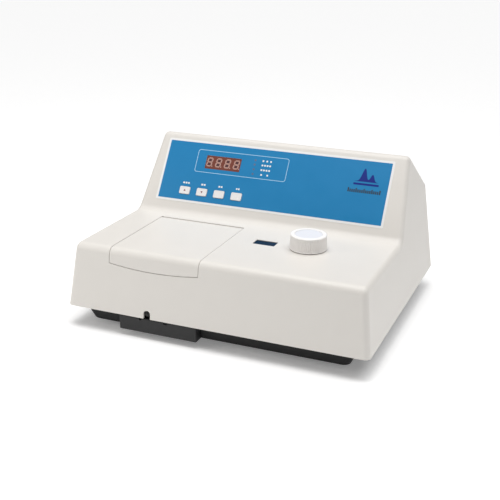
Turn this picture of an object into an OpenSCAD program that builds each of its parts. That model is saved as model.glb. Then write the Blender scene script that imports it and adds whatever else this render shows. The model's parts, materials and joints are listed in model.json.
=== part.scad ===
// Bench visible-light spectrophotometer: a moulded cover on a black base tray, a four-cell
// sample compartment under a hinged lid, a grating monochromator turned by a deck knob, a
// photodiode detector, and a sloping control panel with a four-digit display and four keys.
// Origin: centre of the footprint at the bottom of the feet. +X right, +Y back, +Z up.

/* [Cover] */
// Width across the cover's bottom rim
cover_w = 384; // [376:1:400]
// Depth across the cover's bottom rim
cover_d = 325; // [320:1:335]
// Height of the flat front deck above the rim
deck_h = 79.6; // [78:0.1:84]
// Distance from the front rim to the crease where the panel starts
crease_y = 165.5; // [164:0.5:170]
// Distance from the front rim to the top ridge
ridge_y = 227.6; // [222:0.2:230]
// Height of the top ridge above the rim
ridge_h = 176.8; // [168:0.1:178]
// Height above the rim where the back wall starts
rear_h = 119.2; // [110:0.2:125]
// Wall lean, in millimetres sideways per millimetre of height
draft = 0.119; // [0.1:0.001:0.13]
// Wall thickness of the moulded cover
wall = 3; // [2.5:0.1:3.2]

/* [Base] */
// Height of the rubber feet
foot_h = 8; // [6:0.5:12]
// Height of the black tray below the rim
base_h = 19; // [18:0.5:20]
// Wall thickness of the tray
tray_wall = 2.5; // [2:0.1:3]

/* [Lid] */
// Left edge of the sample lid
lid_left = -134.5; // [-136:0.5:-133]
// Right edge of the sample lid
lid_right = -17.4; // [-18:0.1:-17]
// Distance from the front rim to the lid's back edge
lid_back = 144.4; // [143:0.1:146]
// Height of the lid lip's lower edge at its corners, above the rim
lip_corner_h = 61.5; // [60:0.1:63]
// How far the lip's lower edge sags at its middle
lip_sag = 4.1; // [3:0.1:6]
// Seam gap round the lid
seam = 0.6; // [0.6:0.1:1]

/* [Sample changer] */
// Distance between neighbouring cuvette cells
cell_pitch = 15; // [14.6:0.1:15]
// Width of the square pocket for a standard 12.5 mm cuvette
cell_w = 12.6; // [12.6:0.1:12.8]
// Depth of the pockets
cell_depth = 39; // [30:1:40]
// Radius of the pull rod
rod_r = 3; // [2.5:0.1:3]
// Radius of each guide rail
rail_r = 2.5; // [2:0.1:3]

/* [Wavelength drive] */
// Knob radius at its foot
knob_r = 22.7; // [20:0.1:24]
// Knob height
knob_h = 18; // [16:0.1:20]
// Radius of the knob shaft
shaft_r = 3; // [2.5:0.1:3.5]
// Radius of the wavelength dial
dial_r = 69; // [66:0.5:70]
// Grating turn for each degree of knob turn
grating_ratio = 0.09; // [0.08:0.005:0.09]

/* [Control panel] */
// Key width across the panel
key_w = 15; // [13:0.1:16]
// Key length up the panel
key_l = 10.3; // [9:0.1:11]
// Distance between neighbouring keys
key_pitch = 25; // [24:0.1:26]
// Clearance round each key
key_gap = 0.35; // [0.3:0.05:0.5]

/* [Hidden] */
$fn = 64;
arc_steps = 6;
fit_gap = 0.05;         // radial clearance of a running fit
slip = 0.3;             // clearance between parts that are fitted from above
eps = 0.5;              // overshoot of a cutting tool
rim_z = foot_h + base_h;

// Plane outlines. Side views are [distance from front, height], front views [x, height].
rear_y = cover_d - draft * rear_h;
panel_angle = atan2(ridge_h - deck_h, ridge_y - crease_y);
back_angle = 90 + atan(draft);
deck_end = crease_y - 5; // where the flat deck gives way to the fillet of the crease
deck_edge_r = 9;
ridge_edge_r = 9;
profile_r = [0, 0, 6, 8, 6, 9];         // rounding of the side view's corners
profile_in_r = [0, 0, 3, 5, 9, 4];      // the same on the inside of the wall

function unit(v) = v / norm(v);
function at(p, i) = p[(i + len(p)) % len(p)];
function left_of(v) = [-v[1], v[0]];
function about(c, half) = [c - half, c + half];
function reach(a, low, high) = [a + low, a + high];

// Moves every edge of a counter-clockwise outline inwards by t.
function inset(p, t) = [for (i = [0:len(p) - 1])
    let (m = left_of(unit(p[i] - at(p, i - 1))), n = left_of(unit(at(p, i + 1) - p[i])))
    p[i] + t / (1 + m * n) * (m + n)];

// Rounds corner i of an outline with radius r[i].
function rounded(p, r) = [for (i = [0:len(p) - 1])
    each r[i] == 0 ? [p[i]] : corner_arc(p[i], unit(at(p, i - 1) - p[i]),
        unit(at(p, i + 1) - p[i]), r[i])];
function corner_arc(b, u, v, r) =
    let (half = acos(u * v) / 2, c = b + unit(u + v) * r / sin(half),
        s = b + u * r / tan(half) - c, e = b + v * r / tan(half) - c,
        a = atan2(s[1], s[0]), turn = (atan2(e[1], e[0]) - a + 540) % 360 - 180)
    [for (k = [0:arc_steps]) c + r * [cos(a + turn * k / arc_steps),
        sin(a + turn * k / arc_steps)]];

function cover_side(low) = [[draft * low, low], [cover_d - draft * low, low], [rear_y, rear_h],
    [ridge_y, ridge_h], [crease_y, deck_h], [draft * deck_h, deck_h]];
function cover_front(low, top) = let (a = cover_w / 2 - draft * low, b = cover_w / 2 - draft * top)
    [[-a, low], [a, low], [b, top], [-b, top]];

tray_top_w = 345;       // tray width at the rim
tray_low_w = 330;       // tray width at its bottom
tray_top_y = 7.6;       // front wall at the rim
tray_low_y = 14.8;      // front wall at the bottom
tray_edge_r = 2;
flange_z = 0.4;
flange_t = 2.5;
flange_edge = wall + draft * (flange_z + flange_t) + 0.3;
tray_floor = tray_wall - base_h;
tray_side = [[tray_low_y, -base_h], [cover_d - tray_low_y, -base_h],
    [cover_d - tray_top_y, flange_z], [tray_top_y, flange_z]];
tray_front = [[-tray_low_w / 2, -base_h], [tray_low_w / 2, -base_h],
    [tray_top_w / 2, flange_z], [-tray_top_w / 2, flange_z]];
tray_over = 10;         // how far the tray's hollow passes its rim
tray_lean = [(tray_top_w - tray_low_w) / 2, tray_low_y - tray_top_y] * tray_over
    / (base_h + flange_z);
tray_vent = [4, 46];    // width and length of a slot in the floor
tray_vent_at = [64, 180];
tray_vent_pitch = 9;

// Sample compartment, cells and changer
well_x = [-120, -17];
well_y = [15, 133];
well_top = 72.3;
well_wall = 3;
well_floor = -15;
foot_lip_y = 0.5;
ledge_x = [-139, -13];  // landing for the lid's seal, round the mouth of the well
ledge_y = [13.3, 134.5];
ledge_t = 2.5;
cell_count = 4;
beam_y = 74;
detector_x = [-158, -122];
detector_y = [56, 92];
detector_top = 46;
rod_x = -82;
rod_z = 5.7;
keyhole_r = 4.5;
keyhole_depth = 8;
rod_knob_r = 4;
rod_knob_y = 1.2;
rod_knob_l = 12;
rod_front = 7;          // where the rod ends inside its knob
rod_grip = 10;          // how far the rod reaches into the carriage
rod_bushing_r = 5.5;
carriage_y = 65;
carriage_l = cell_count * cell_pitch + 3;
carriage_deck = 11;
carriage_half = 27;
cell_block_half = 8.5;
beam_z = carriage_deck + 15;
rail_dx = 20;
hinge_r = 4;
hinge_y = lid_back - hinge_r;
hinge_z = deck_h - hinge_r;
pin_r = 2;
seal_x = [-124, -18.6];
seal_y = [15.9, 134];
seal_w = 6;
lug_l = 6;
lug_half = 5;
pin_in_lid = 10;

// Monochromator, knob shaft, cam and grating
knob_at = [83, 104.5];
knob_lift = 0.8;        // gap between the deck and the knob
knob_rim_h = 1;
knob_bore = 13;
cap_r = 16.5;
cap_recess = 1.2;
bushing_r = 6;
shaft_low = 42.5;
dial_z = 64;
hub_r = 8;
grating_at = [25, 125];
arm_l = 52;
mono_x = [-12, 140];
mono_y = [22, 158];
mono_low = -14;
mono_top = 48;
mono_lid_t = 2.5;
mono_wall = 3;
port_half = [4, 8];     // half width and half height of the beam's openings
optics_low = mono_low + mono_wall;
optics_top = 42;
mirror_r = 300;
centre_gap = norm(knob_at - grating_at);
centre_angle = atan2(knob_at[1] - grating_at[1], knob_at[0] - grating_at[0]);
arm_rest = 25;          // arm angle off the centre line at rest
arm_angle = centre_angle + arm_rest;
roller_r = 4;
cam_gap = 0.4;
cam_z = 52.5;
cam_t = 5;
arm_z = 59.5;
arm_t = 3;
pivot_r = 4;            // grating spindle
knob_low = -78;         // knob turn at the shortest wavelength
knob_high = 222;        // knob turn at the longest wavelength
entry_x = 90;
lens_ball_r = 19.5;

// Lamp in its box
lamp_y = 205;
lamp_r = 5;
lamp_z = 16;
lamp_l = 16;
lamp_box_x = [55, 125];
lamp_box_y = [168, 238];
lamp_box_top = 66;
sheet_t = 2;            // sheet metal of the lamp and detector boxes

// Panel positions are [x, distance up the slope from the crease].
overlay_x = [-159.9, 155.3];
overlay_u = [16.2, 103.8];
overlay_t = 0.5;
window_at = [-74, 75.3];
window_size = [50.4, 18.6];
display_size = [50.3, 19];
led_x = -29.5;
led_u = [85, 79, 72.5, 66];
led_r = 1.5;
key_x = -120;
key_u = 32.4;
key_top = 1.3;
key_flange = 1.2;
board_n = -14;
panel_board_x = [-150, 10];
panel_board_u = [20, 98];

glass_x = [14.7, 42.7];
glass_y = [94.4, 109.9];

// Main board
board_x = [-150, 40];
board_y = [180, 296];
board_z = -8;
board_t = 1.6;
board_top = board_z + board_t;
chip_pitch = 26;
can_r = 8;
can_h = 28;
can_pitch = 22;
sink_x = [-144, -104];
sink_y = [236, 239];
sink_top = 30;
fin = [2, 13];          // thickness and depth of a cooling fin
fin_pitch = 6.2;

// Mains transformer
core_x = [60, 124];
core_y = [248, 280];
core_top = 36;
core_leg = 10;          // width of the outer legs
core_slot = 12;
core_yoke = 11;

// Connectors on the back, [x, distance up the back wall]
inlet_at = [-62, 40];
switch_at = [-14, 40];
fuse_at = [22, 40];
port_at = [64, 40];
bay = [194, 52];
bay_low = 14;
plate_size = [210, 64];
plate_low = 8;
plate_t = 2;
vent = [3, 34];         // width and height of a slot in the back wall
vent_x = 117;
vent_v = 22;
vent_pitch = 8;
inlet_body = [28, 20];
switch_body = [20, 28];
fuse_body_r = 6.5;
port_body = [19, 10];

module rim_frame() translate([0, -cover_d / 2, rim_z]) children();
module along_x(l) rotate([90, 0, 90]) translate([0, 0, -l / 2]) linear_extrude(l) children();
module along_y(l) translate([0, l, 0]) rotate([90, 0, 0]) linear_extrude(l) children();
module block(x, y, z) translate([x[0], y[0], z[0]]) cube([x[1] - x[0], y[1] - y[0], z[1] - z[0]]);
module on_panel() translate([0, crease_y, deck_h]) rotate([panel_angle, 0, 0]) children();
module on_back() translate([0, cover_d, 0]) rotate([back_angle, 0, 0]) children();
module pole_y(r, l) rotate([-90, 0, 0]) cylinder(r = r, h = l);
module pole_x(r, l) rotate([0, 90, 0]) cylinder(r = r, h = l);
module slab(size, low, high) translate([-size[0] / 2, -size[1] / 2, low])
    cube([size[0], size[1], high - low]);

// Front view of the sliver to take off the deck's right-hand edge, for a form shrunk by t
function edge_sliver(t) =
    let (p = inset(cover_front(0, deck_h), t), c = p[2],
        arc = corner_arc(c, unit(p[1] - c), [-1, 0], deck_edge_r - t), n = len(arc) - 1)
    concat([arc[0] + 2 * (arc[0] - arc[1])], [for (i = [1:n - 1]) arc[i]],
        [arc[n] + 2 * (arc[n] - arc[n - 1]), c + [8, 8]]);

// Cover form shrunk by t, reaching down to the height low
module cover_form(t, low) {
    soft = t == 0 ? profile_r : profile_in_r;
    difference() {
        intersection() {
            along_x(cover_w + 10) polygon(rounded(inset(cover_side(low), t), soft));
            translate([0, -5, 0]) along_y(cover_d + 10) polygon(rounded(
                inset(cover_front(low, ridge_h), t), [0, 0, ridge_edge_r - t, ridge_edge_r - t]));
        }
        for (side = [0, 1]) mirror([side, 0, 0]) translate([0, -5, 0])
            along_y(deck_end + 5) polygon(edge_sliver(t));
    }
}

// Front view of the lid, grown by g, with its sagging lower edge
module lid_outline(g) {
    half = (lid_right - lid_left) / 2;
    arc_r = (half * half + lip_sag * lip_sag) / (2 * lip_sag);
    intersection() {
        translate([lid_left - g, lip_corner_h - lip_sag - g])
            square([2 * (half + g), deck_h]);
        translate([lid_left + half, lip_corner_h - lip_sag + arc_r]) circle(r = arc_r + g);
    }
}

function key_at(i) = [key_x + i * key_pitch, key_u];
module at_keys() for (i = [0:3]) translate(key_at(i)) children();
module at_leds() for (u = led_u) translate([led_x, u, 0]) children();

boss_in = 8;            // from the cover's rim to its screw bosses
boss_h = 12;
boss_x = cover_w / 2 - boss_in;
boss_at = [for (x = [-boss_x, boss_x], y = [40, 160, 285]) [x, y]];
ear_at = [[-125, 36], [-125, 112], [-40, 138], [-100, 138]];
mono_screw_in = 5.5;    // from the housing's walls to its screws
mono_screw_at = [for (x = mono_x + mono_screw_in * [1, -1], y = mono_y + mono_screw_in * [1, -1])
    [x, y]];
plate_screw_at = [for (x = [-101, 101], v = [20, 60]) [x, v]];
board_screw_in = 5.5;   // from the board's edges to its screws
board_screw_at = [for (x = board_x + board_screw_in * [1, -1], y = board_y + board_screw_in * [1, -1])
    [x, y]];
foot_at = [for (x = [-135, 135], y = [45, 280]) [x, y]];
ear_t = 2.5;
screw_r = 1.4;
screw_hole_r = 1.5;
screw_l = 5;
screw_head = [2.8, 2];
boss_r = 5;
foot_r = 10;

// Tray outline with its upper corners carried on past the rim
function leaned(p, lean) = [p[0], p[1], p[2] + [lean, tray_over], p[3] + [-lean, tray_over]];

module base_tray() color([0.05, 0.05, 0.055]) difference() {
    union() {
        intersection() {
            along_x(cover_w) polygon(rounded(tray_side, [tray_edge_r, tray_edge_r, 0, 0]));
            along_y(cover_d) polygon(rounded(tray_front, [tray_edge_r, tray_edge_r, 0, 0]));
        }
        block([flange_edge - cover_w / 2, cover_w / 2 - flange_edge],
            [flange_edge, cover_d - flange_edge], [flange_z, flange_z + flange_t]);
    }
    intersection() {
        along_x(cover_w) polygon(inset(leaned(tray_side, tray_lean[1]), tray_wall));
        along_y(cover_d) polygon(inset(leaned(tray_front, tray_lean[0]), tray_wall));
    }
    block(well_x + slip * [-1, 1], [-1, well_y[1] + slip], [-base_h - eps, flange_z + flange_t + eps]);
    for (p = boss_at) translate([p[0], p[1], flange_z - eps])
        cylinder(r = screw_hole_r, h = flange_t + 1);
    for (p = concat(ear_at, foot_at)) translate([p[0], p[1], -base_h - eps])
        cylinder(r = screw_hole_r, h = tray_wall + 1);
    for (i = [0:5]) translate([tray_vent_at[0] + tray_vent_pitch * i, tray_vent_at[1], -base_h - eps])
        cube([tray_vent[0], tray_vent[1], tray_wall + 1]);
}

module rubber_feet() color([0.04, 0.04, 0.04])
    for (p = foot_at) translate([p[0], p[1], -rim_z]) difference() {
        union() {
            cylinder(r1 = foot_r - 1, r2 = foot_r, h = 2);
            translate([0, 0, 2]) cylinder(r = foot_r, h = foot_h - 2);
        }
        translate([0, 0, -eps]) cylinder(r = 4, h = 5 + eps);
        translate([0, 0, -eps]) cylinder(r = 1.8, h = foot_h + 1);
    }

module foot_screws() color([0.7, 0.7, 0.72])
    for (p = foot_at) translate([p[0], p[1], -rim_z + 3]) difference() {
        union() {
            cylinder(r = 3.4, h = 2);
            translate([0, 0, 2]) cylinder(r = screw_r, h = foot_h - 1.5);
        }
        translate([-0.4, -4, -eps]) cube([0.8, 8, 1.2]);
    }

module cover() color([0.93, 0.92, 0.88]) difference() {
    union() {
        difference() {
            cover_form(0, 0);
            cover_form(wall, -10);
        }
        intersection() {
            cover_form(wall / 2, -10);
            union() {
                for (p = boss_at) translate([p[0], p[1], flange_z + flange_t])
                    cylinder(r = boss_r, h = boss_h);
                for (x = [lid_left - seam - lug_l, lid_right + seam])
                    block([x, x + lug_l], about(hinge_y, lug_half),
                        [hinge_z - lug_half, deck_h]);
            }
        }
    }
    translate([0, -eps, 0]) along_y(hinge_y + hinge_r + seam + eps) lid_outline(seam);
    for (p = boss_at) translate([p[0], p[1], 0]) cylinder(r = screw_hole_r, h = boss_h);
    translate([lid_left - seam - lug_l - eps, hinge_y, hinge_z])
        pole_x(pin_r, lid_right - lid_left + 2 * (seam + lug_l + eps));
    translate([rod_x, -eps, rod_z]) pole_y(keyhole_r, keyhole_depth);
    block(about(rod_x, keyhole_r), [-eps, keyhole_depth - eps], [-eps, rod_z]);
    block(glass_x, glass_y, [deck_h - wall - eps, deck_h + eps]);
    translate([knob_at[0], knob_at[1], deck_h - wall - eps]) cylinder(r = bushing_r, h = wall + 1);
    on_panel() {
        translate(window_at) slab(window_size, -wall - eps, eps);
        at_keys() slab([key_w + 2 * key_gap, key_l + 2 * key_gap], -wall - eps, eps);
        at_leds() translate([0, 0, -wall - eps]) cylinder(r = led_r, h = wall + 1);
    }
    on_back() {
        translate([-bay[0] / 2, bay_low, -eps]) cube([bay[0], bay[1], wall + 1]);
        for (p = plate_screw_at) translate([p[0], p[1], -eps])
            cylinder(r = screw_hole_r, h = wall + 1);
        for (side = [-1, 1], i = [0:5])
            translate([side * (vent_x + vent_pitch * i) - vent[0] / 2, vent_v, -eps])
                cube([vent[0], vent[1], wall + 1]);
    }
}

// One pan-head screw: the head's underside is at z = 0 and the thread points to -z.
module screw() difference() {
    union() {
        cylinder(r = screw_head[0], h = screw_head[1]);
        translate([0, 0, -screw_l]) cylinder(r = screw_r, h = screw_l);
    }
    for (a = [0, 90]) rotate(a) translate([-1.8, -0.35, screw_head[1] - 1]) cube([3.6, 0.7, 2]);
}

module m3_screws() color([0.72, 0.72, 0.74]) {
    for (p = boss_at) translate([p[0], p[1], flange_z]) mirror([0, 0, 1]) screw();
    for (p = ear_at) translate([p[0], p[1], tray_floor + ear_t]) screw();
    for (p = mono_screw_at) translate([p[0], p[1], mono_top + mono_lid_t]) screw();
    for (p = board_screw_at) translate([p[0], p[1], board_top]) screw();
    on_back() for (p = plate_screw_at) translate([p[0], p[1], 0]) mirror([0, 0, 1]) screw();
}

module control_overlay() color([0.2, 0.54, 0.74]) on_panel() difference() {
    block(overlay_x, overlay_u, [0, overlay_t]);
    translate(window_at) slab(window_size, -eps, 1);
    at_keys() slab([key_w + 2 * key_gap, key_l + 2 * key_gap], -eps, 1);
    at_leds() translate([0, 0, -eps]) cylinder(r = led_r, h = 2);
}

module display_window() color([0.36, 0.12, 0.08]) on_panel()
    translate(window_at) slab(window_size, -wall, overlay_t - 0.1);

module digit_display() color([0.12, 0.11, 0.11]) on_panel()
    translate(window_at) slab(display_size, board_n, -wall - eps);

module indicator_leds() color([0.5, 0.2, 0.15]) on_panel() at_leds() {
    translate([0, 0, board_n]) cylinder(r = led_r, h = overlay_t - board_n - 0.1);
    translate([0, 0, board_n]) cylinder(r = led_r + 0.5, h = 6);
}

module display_board() color([0.1, 0.35, 0.2]) on_panel() {
    block(panel_board_x, panel_board_u, [board_n - board_t, board_n]);
    for (x = panel_board_x + boss_r * [1, -1], u = panel_board_u + boss_r * [1, -1])
        translate([x, u, board_n]) cylinder(r = 3, h = -board_n - wall);
}

module key_switches() color([0.15, 0.15, 0.15]) on_panel() at_keys() {
    slab([6, 6], board_n, board_n + 4);
    translate([0, 0, board_n + 4]) cylinder(r = 1.75, h = 1.5);
}

module key_cap(i) color([0.97, 0.97, 0.98]) on_panel() translate(key_at(i)) {
    slab([key_w, key_l], -wall - 0.4, key_top);
    slab([key_w + 2 * key_flange, key_l + 2 * key_flange], -wall - 1.9, -wall - 0.4);
    slab([4, 4], -7.6, -wall - 1.9);
}

module wavelength_window() color([0.03, 0.05, 0.12])
    block(glass_x, glass_y, [deck_h - 2.6, deck_h - 0.6]);

module wavelength_knob() color([0.98, 0.98, 0.97])
    translate([knob_at[0], knob_at[1], deck_h + knob_lift]) difference() {
        union() {
            cylinder(r = knob_r, h = knob_rim_h);
            translate([0, 0, knob_rim_h])
                cylinder(r1 = knob_r - 0.2, r2 = knob_r - 0.9, h = knob_h - knob_rim_h);
        }
        translate([0, 0, knob_h - cap_recess]) cylinder(r = cap_r, h = cap_recess + eps);
        translate([0, 0, -eps]) cylinder(r = shaft_r, h = knob_bore + eps);
    }

module knob_cap() color([0.95, 0.95, 0.97])
    translate([knob_at[0], knob_at[1], deck_h + knob_lift + knob_h - cap_recess])
        cylinder(r = cap_r, h = 1);

module knob_shaft() color([0.75, 0.75, 0.77])
    translate([knob_at[0], knob_at[1], shaft_low])
        cylinder(r = shaft_r, h = deck_h + knob_lift + knob_bore - shaft_low);

module shaft_bushing() color([0.75, 0.6, 0.3])
    translate([knob_at[0], knob_at[1], deck_h - wall]) difference() {
        union() {
            cylinder(r = bushing_r, h = wall);
            translate([0, 0, -2.5]) cylinder(r = bushing_r + 3, h = 2.5);
        }
        translate([0, 0, -3]) cylinder(r = shaft_r + fit_gap, h = wall + 4);
    }

module wavelength_dial() color([0.9, 0.9, 0.86])
    translate([knob_at[0], knob_at[1], dial_z]) difference() {
        union() {
            cylinder(r = hub_r, h = 6);
            translate([0, 0, 6]) cylinder(r = dial_r, h = 1.5);
        }
        translate([0, 0, -eps]) cylinder(r = shaft_r, h = 9);
        for (a = [0:60:300]) rotate(a) translate([22, 0, 5]) cylinder(r = 7, h = 4);
    }

// Snail cam: at each knob turn the roller's centre sits this far from the knob shaft.
function roller_at(turn) = let (a = arm_angle + grating_ratio * turn)
    grating_at + arm_l * [cos(a), sin(a)] - knob_at;
function cam_point(turn) = let (c = roller_at(turn), a = atan2(c[1], c[0]) - turn)
    (norm(c) - roller_r - cam_gap) * [cos(a), sin(a)];

module wavelength_cam() color([0.72, 0.62, 0.35])
    translate([knob_at[0], knob_at[1], cam_z]) difference() {
        union() {
            linear_extrude(cam_t) polygon([for (t = [knob_low - 6:6:knob_high + 6]) cam_point(t)]);
            cylinder(r = hub_r, h = cam_t);
        }
        translate([0, 0, -eps]) cylinder(r = shaft_r, h = cam_t + 1);
    }

module follower_arm() color([0.7, 0.72, 0.74])
    translate([grating_at[0], grating_at[1], arm_z]) rotate(arm_angle) difference() {
        union() {
            cylinder(r = pivot_r + 3, h = arm_t);
            translate([0, -3.5, 0]) cube([arm_l, 7, arm_t]);
            translate([arm_l, 0, 0]) cylinder(r = roller_r + 1, h = arm_t);
        }
        translate([0, 0, -eps]) cylinder(r = pivot_r, h = arm_t + 1);
    }

module follower_roller() color([0.75, 0.6, 0.3])
    translate([grating_at[0], grating_at[1], cam_z - 0.5]) rotate(arm_angle)
        translate([arm_l, 0, 0]) cylinder(r = roller_r, h = arm_z - cam_z + 0.5);

// Grating holder, drawn with the ruled face on the pivot axis looking along -y
holder_turn = 71;
grating_half = 12.5;
module grating_table() color([0.2, 0.2, 0.22])
    translate([grating_at[0], grating_at[1], 0]) rotate(holder_turn) {
        translate([0, 0, mono_low + 3.3]) cylinder(r = pivot_r, h = 15.7);
        translate([0, 0, 5]) cylinder(r = 15, h = 3);
        block(grating_half * [-1, 1], [6, 8], [8, 38]);
        translate([0, 0, 38]) cylinder(r = 13, h = 3);
        translate([0, 0, 41]) cylinder(r = pivot_r, h = arm_z + arm_t + eps - 41);
    }

module grating() color([0.55, 0.5, 0.7])
    translate([grating_at[0], grating_at[1], 0]) rotate(holder_turn)
        block(grating_half * [-1, 1], [0, 6], [12, 37]);

module monochromator_housing() color([0.1, 0.1, 0.11]) difference() {
    union() {
        difference() {
            block(mono_x, mono_y, [mono_low, mono_top]);
            block(mono_x + mono_wall * [1, -1], mono_y + mono_wall * [1, -1],
                [mono_low + mono_wall, mono_top + eps]);
        }
        for (p = mono_screw_at) translate([p[0], p[1], tray_floor])
            cylinder(r = boss_r, h = mono_top - tray_floor);
        translate([grating_at[0], grating_at[1], mono_low]) cylinder(r = hub_r, h = 17);
    }
    for (p = mono_screw_at) translate([p[0], p[1], mono_top - 8]) cylinder(r = screw_hole_r, h = 9);
    translate([grating_at[0], grating_at[1], mono_low + mono_wall])
        cylinder(r = pivot_r + fit_gap, h = 15);
    block(reach(mono_x[0], -eps, mono_wall + eps), about(beam_y, port_half[0]),
        about(beam_z, port_half[1]));
    block(about(entry_x, port_half[0]), reach(mono_y[1], -mono_wall - eps, eps),
        about(beam_z, port_half[1]));
}

module monochromator_cover() color([0.12, 0.12, 0.13]) difference() {
    union() {
        block(mono_x, mono_y, [mono_top, mono_top + mono_lid_t]);
        translate([knob_at[0], knob_at[1], mono_top - 8]) cylinder(r = 7, h = 8 + eps);
    }
    for (p = mono_screw_at) translate([p[0], p[1], mono_top - eps])
        cylinder(r = screw_hole_r, h = mono_lid_t + 1);
    translate([knob_at[0], knob_at[1], shaft_low - eps]) cylinder(r = shaft_r + fit_gap, h = 12);
    translate([grating_at[0], grating_at[1], mono_top - eps])
        cylinder(r = pivot_r + fit_gap, h = mono_lid_t + 1);
}

module collimating_mirror() color([0.8, 0.82, 0.85]) difference() {
    block([124, 132], [62, 112], [6, 44]);
    translate([126 - mirror_r, 87, 0]) cylinder(r = mirror_r, h = 50, $fn = 720);
}

module folding_mirror() color([0.8, 0.82, 0.85]) translate([entry_x, 132, 0]) rotate(40)
    block([-14, 14], [-2, 2], [optics_low, optics_top]);

module slit_plate() difference() {
    block([-12, 12], [0, 1], [optics_low, optics_top]);
    block([-0.5, 0.5], [-eps, 1.5], about(beam_z, 6));
}

module entrance_slit() color([0.6, 0.6, 0.62])
    translate([entry_x, mono_y[1] - mono_wall - 1, 0]) slit_plate();

module exit_slit() color([0.6, 0.6, 0.62])
    translate([mono_x[0] + mono_wall + 1, beam_y, 0]) rotate(90) slit_plate();

module condenser_lens() color([0.85, 0.92, 0.95, 0.5]) translate([entry_x, mono_y[1] + 2, beam_z])
    rotate([-90, 0, 0]) intersection() {
        cylinder(r = 12, h = 5);
        translate([0, 0, lens_ball_r - 15]) sphere(r = lens_ball_r);
    }

module lamp() color([0.9, 0.93, 0.95, 0.5]) translate([entry_x, lamp_y, lamp_z]) {
    cylinder(r = lamp_r, h = lamp_l);
    translate([0, 0, lamp_l]) sphere(r = lamp_r);
}

module lamp_socket() color([0.85, 0.84, 0.8]) translate([entry_x, lamp_y, 0]) {
    slab([18, 14], lamp_z - 10, lamp_z);
    slab([10, 10], tray_floor + sheet_t, lamp_z - 10);
}

module lamp_housing() color([0.75, 0.76, 0.78]) difference() {
    block(lamp_box_x, lamp_box_y, [tray_floor, lamp_box_top]);
    block(lamp_box_x + sheet_t * [1, -1], lamp_box_y + sheet_t * [1, -1],
        [tray_floor + sheet_t, lamp_box_top - sheet_t]);
    block(about(entry_x, 12), reach(lamp_box_y[0], -1, 3), about(beam_z, 12));
    for (i = [0:6]) block(reach(lamp_box_x[0] + 8 * i, 7, 11), lamp_box_y + 12 * [1, -1],
        reach(lamp_box_top, -6, 4));
}

module sample_compartment() color([0.2, 0.2, 0.21]) difference() {
    union() {
        block(well_x, well_y, [-base_h, well_top]);
        block(well_x, [foot_lip_y, well_y[0] + 1], [-base_h, -0.8]);
        block(ledge_x, ledge_y, [well_top - ledge_t, well_top]);
        for (p = ear_at) translate([p[0], p[1], tray_floor]) slab([12, 12], 0, ear_t);
    }
    block(well_x + well_wall * [1, -1], well_y + well_wall * [1, -1], [well_floor, well_top + eps]);
    for (p = ear_at) translate([p[0], p[1], tray_floor - eps]) cylinder(r = screw_hole_r, h = 4);
    block(well_x + eps * [-1, 1], about(beam_y, 3), about(beam_z, 7));
    translate([rod_x, well_y[0] - eps, rod_z]) pole_y(rod_bushing_r, well_wall + 2 * eps);
}

module guide_rails() color([0.8, 0.8, 0.82])
    for (s = [-1, 1]) translate([rod_x + s * rail_dx, well_y[0] + well_wall, rod_z])
        pole_y(rail_r, well_y[1] - well_y[0] - 2 * well_wall);

module pull_rod_bushing() color([0.75, 0.6, 0.3])
    translate([rod_x, well_y[0] - 0.5, rod_z]) difference() {
        pole_y(rod_bushing_r, well_wall + 1);
        translate([0, -eps, 0]) pole_y(rod_r + fit_gap, well_wall + 2);
    }

module cuvette_carriage() color([0.12, 0.12, 0.13]) difference() {
    union() {
        block(about(rod_x, carriage_half), reach(carriage_y, 0, carriage_l), [0, carriage_deck]);
        block(about(rod_x, cell_block_half), reach(carriage_y, 0, carriage_l),
            reach(carriage_deck, -eps, cell_depth));
    }
    for (i = [0:cell_count - 1]) translate([rod_x, beam_y + i * cell_pitch, carriage_deck]) {
        slab([cell_w, cell_w], 0, cell_depth + 1);
        slab([20, 6], 7, 31);
    }
    for (s = [-1, 1]) translate([rod_x + s * rail_dx, carriage_y - eps, rod_z])
        pole_y(rail_r + fit_gap, carriage_l + 1);
    translate([rod_x, carriage_y - eps, rod_z]) pole_y(rod_r, rod_grip + eps);
}

module pull_rod() color([0.8, 0.8, 0.82])
    translate([rod_x, rod_front, rod_z]) pole_y(rod_r, carriage_y + rod_grip - rod_front);

module pull_rod_knob() color([0.05, 0.05, 0.05]) translate([rod_x, 0, rod_z]) difference() {
    translate([0, rod_knob_y, 0]) pole_y(rod_knob_r, rod_knob_l);
    translate([0, rod_front, 0]) pole_y(rod_r, rod_knob_l);
}

module lid() color([0.93, 0.92, 0.88]) difference() {
    union() {
        difference() {
            intersection() {
                cover_form(0, 0);
                translate([0, -eps, 0]) along_y(hinge_y + eps) lid_outline(0);
            }
            cover_form(wall, -10);
        }
        translate([lid_left, hinge_y, hinge_z]) pole_x(hinge_r, lid_right - lid_left);
    }
    for (x = [lid_left - eps, lid_right - pin_in_lid])
        translate([x, hinge_y, hinge_z]) pole_x(pin_r + fit_gap, pin_in_lid + eps);
}

module lid_seal() color([0.06, 0.06, 0.06]) difference() {
    block(seal_x, seal_y, [well_top + eps, deck_h - wall]);
    block(seal_x + seal_w * [1, -1], seal_y + seal_w * [1, -1], [well_top, deck_h]);
}

module lid_hinge_pins() color([0.8, 0.8, 0.82])
    for (x = [lid_left - seam - lug_l, lid_right - pin_in_lid + 0.5])
        translate([x, hinge_y, hinge_z]) pole_x(pin_r, lug_l + seam + pin_in_lid - 0.5);

module detector_housing() color([0.12, 0.12, 0.13]) difference() {
    block(detector_x, detector_y, [tray_floor, detector_top]);
    block(detector_x + sheet_t * [1, -1], detector_y + sheet_t * [1, -1],
        [tray_floor + sheet_t, detector_top - sheet_t]);
    block(reach(detector_x[1], -3, 1), about(beam_y, 5.5), about(beam_z, 5.5));
}

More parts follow.
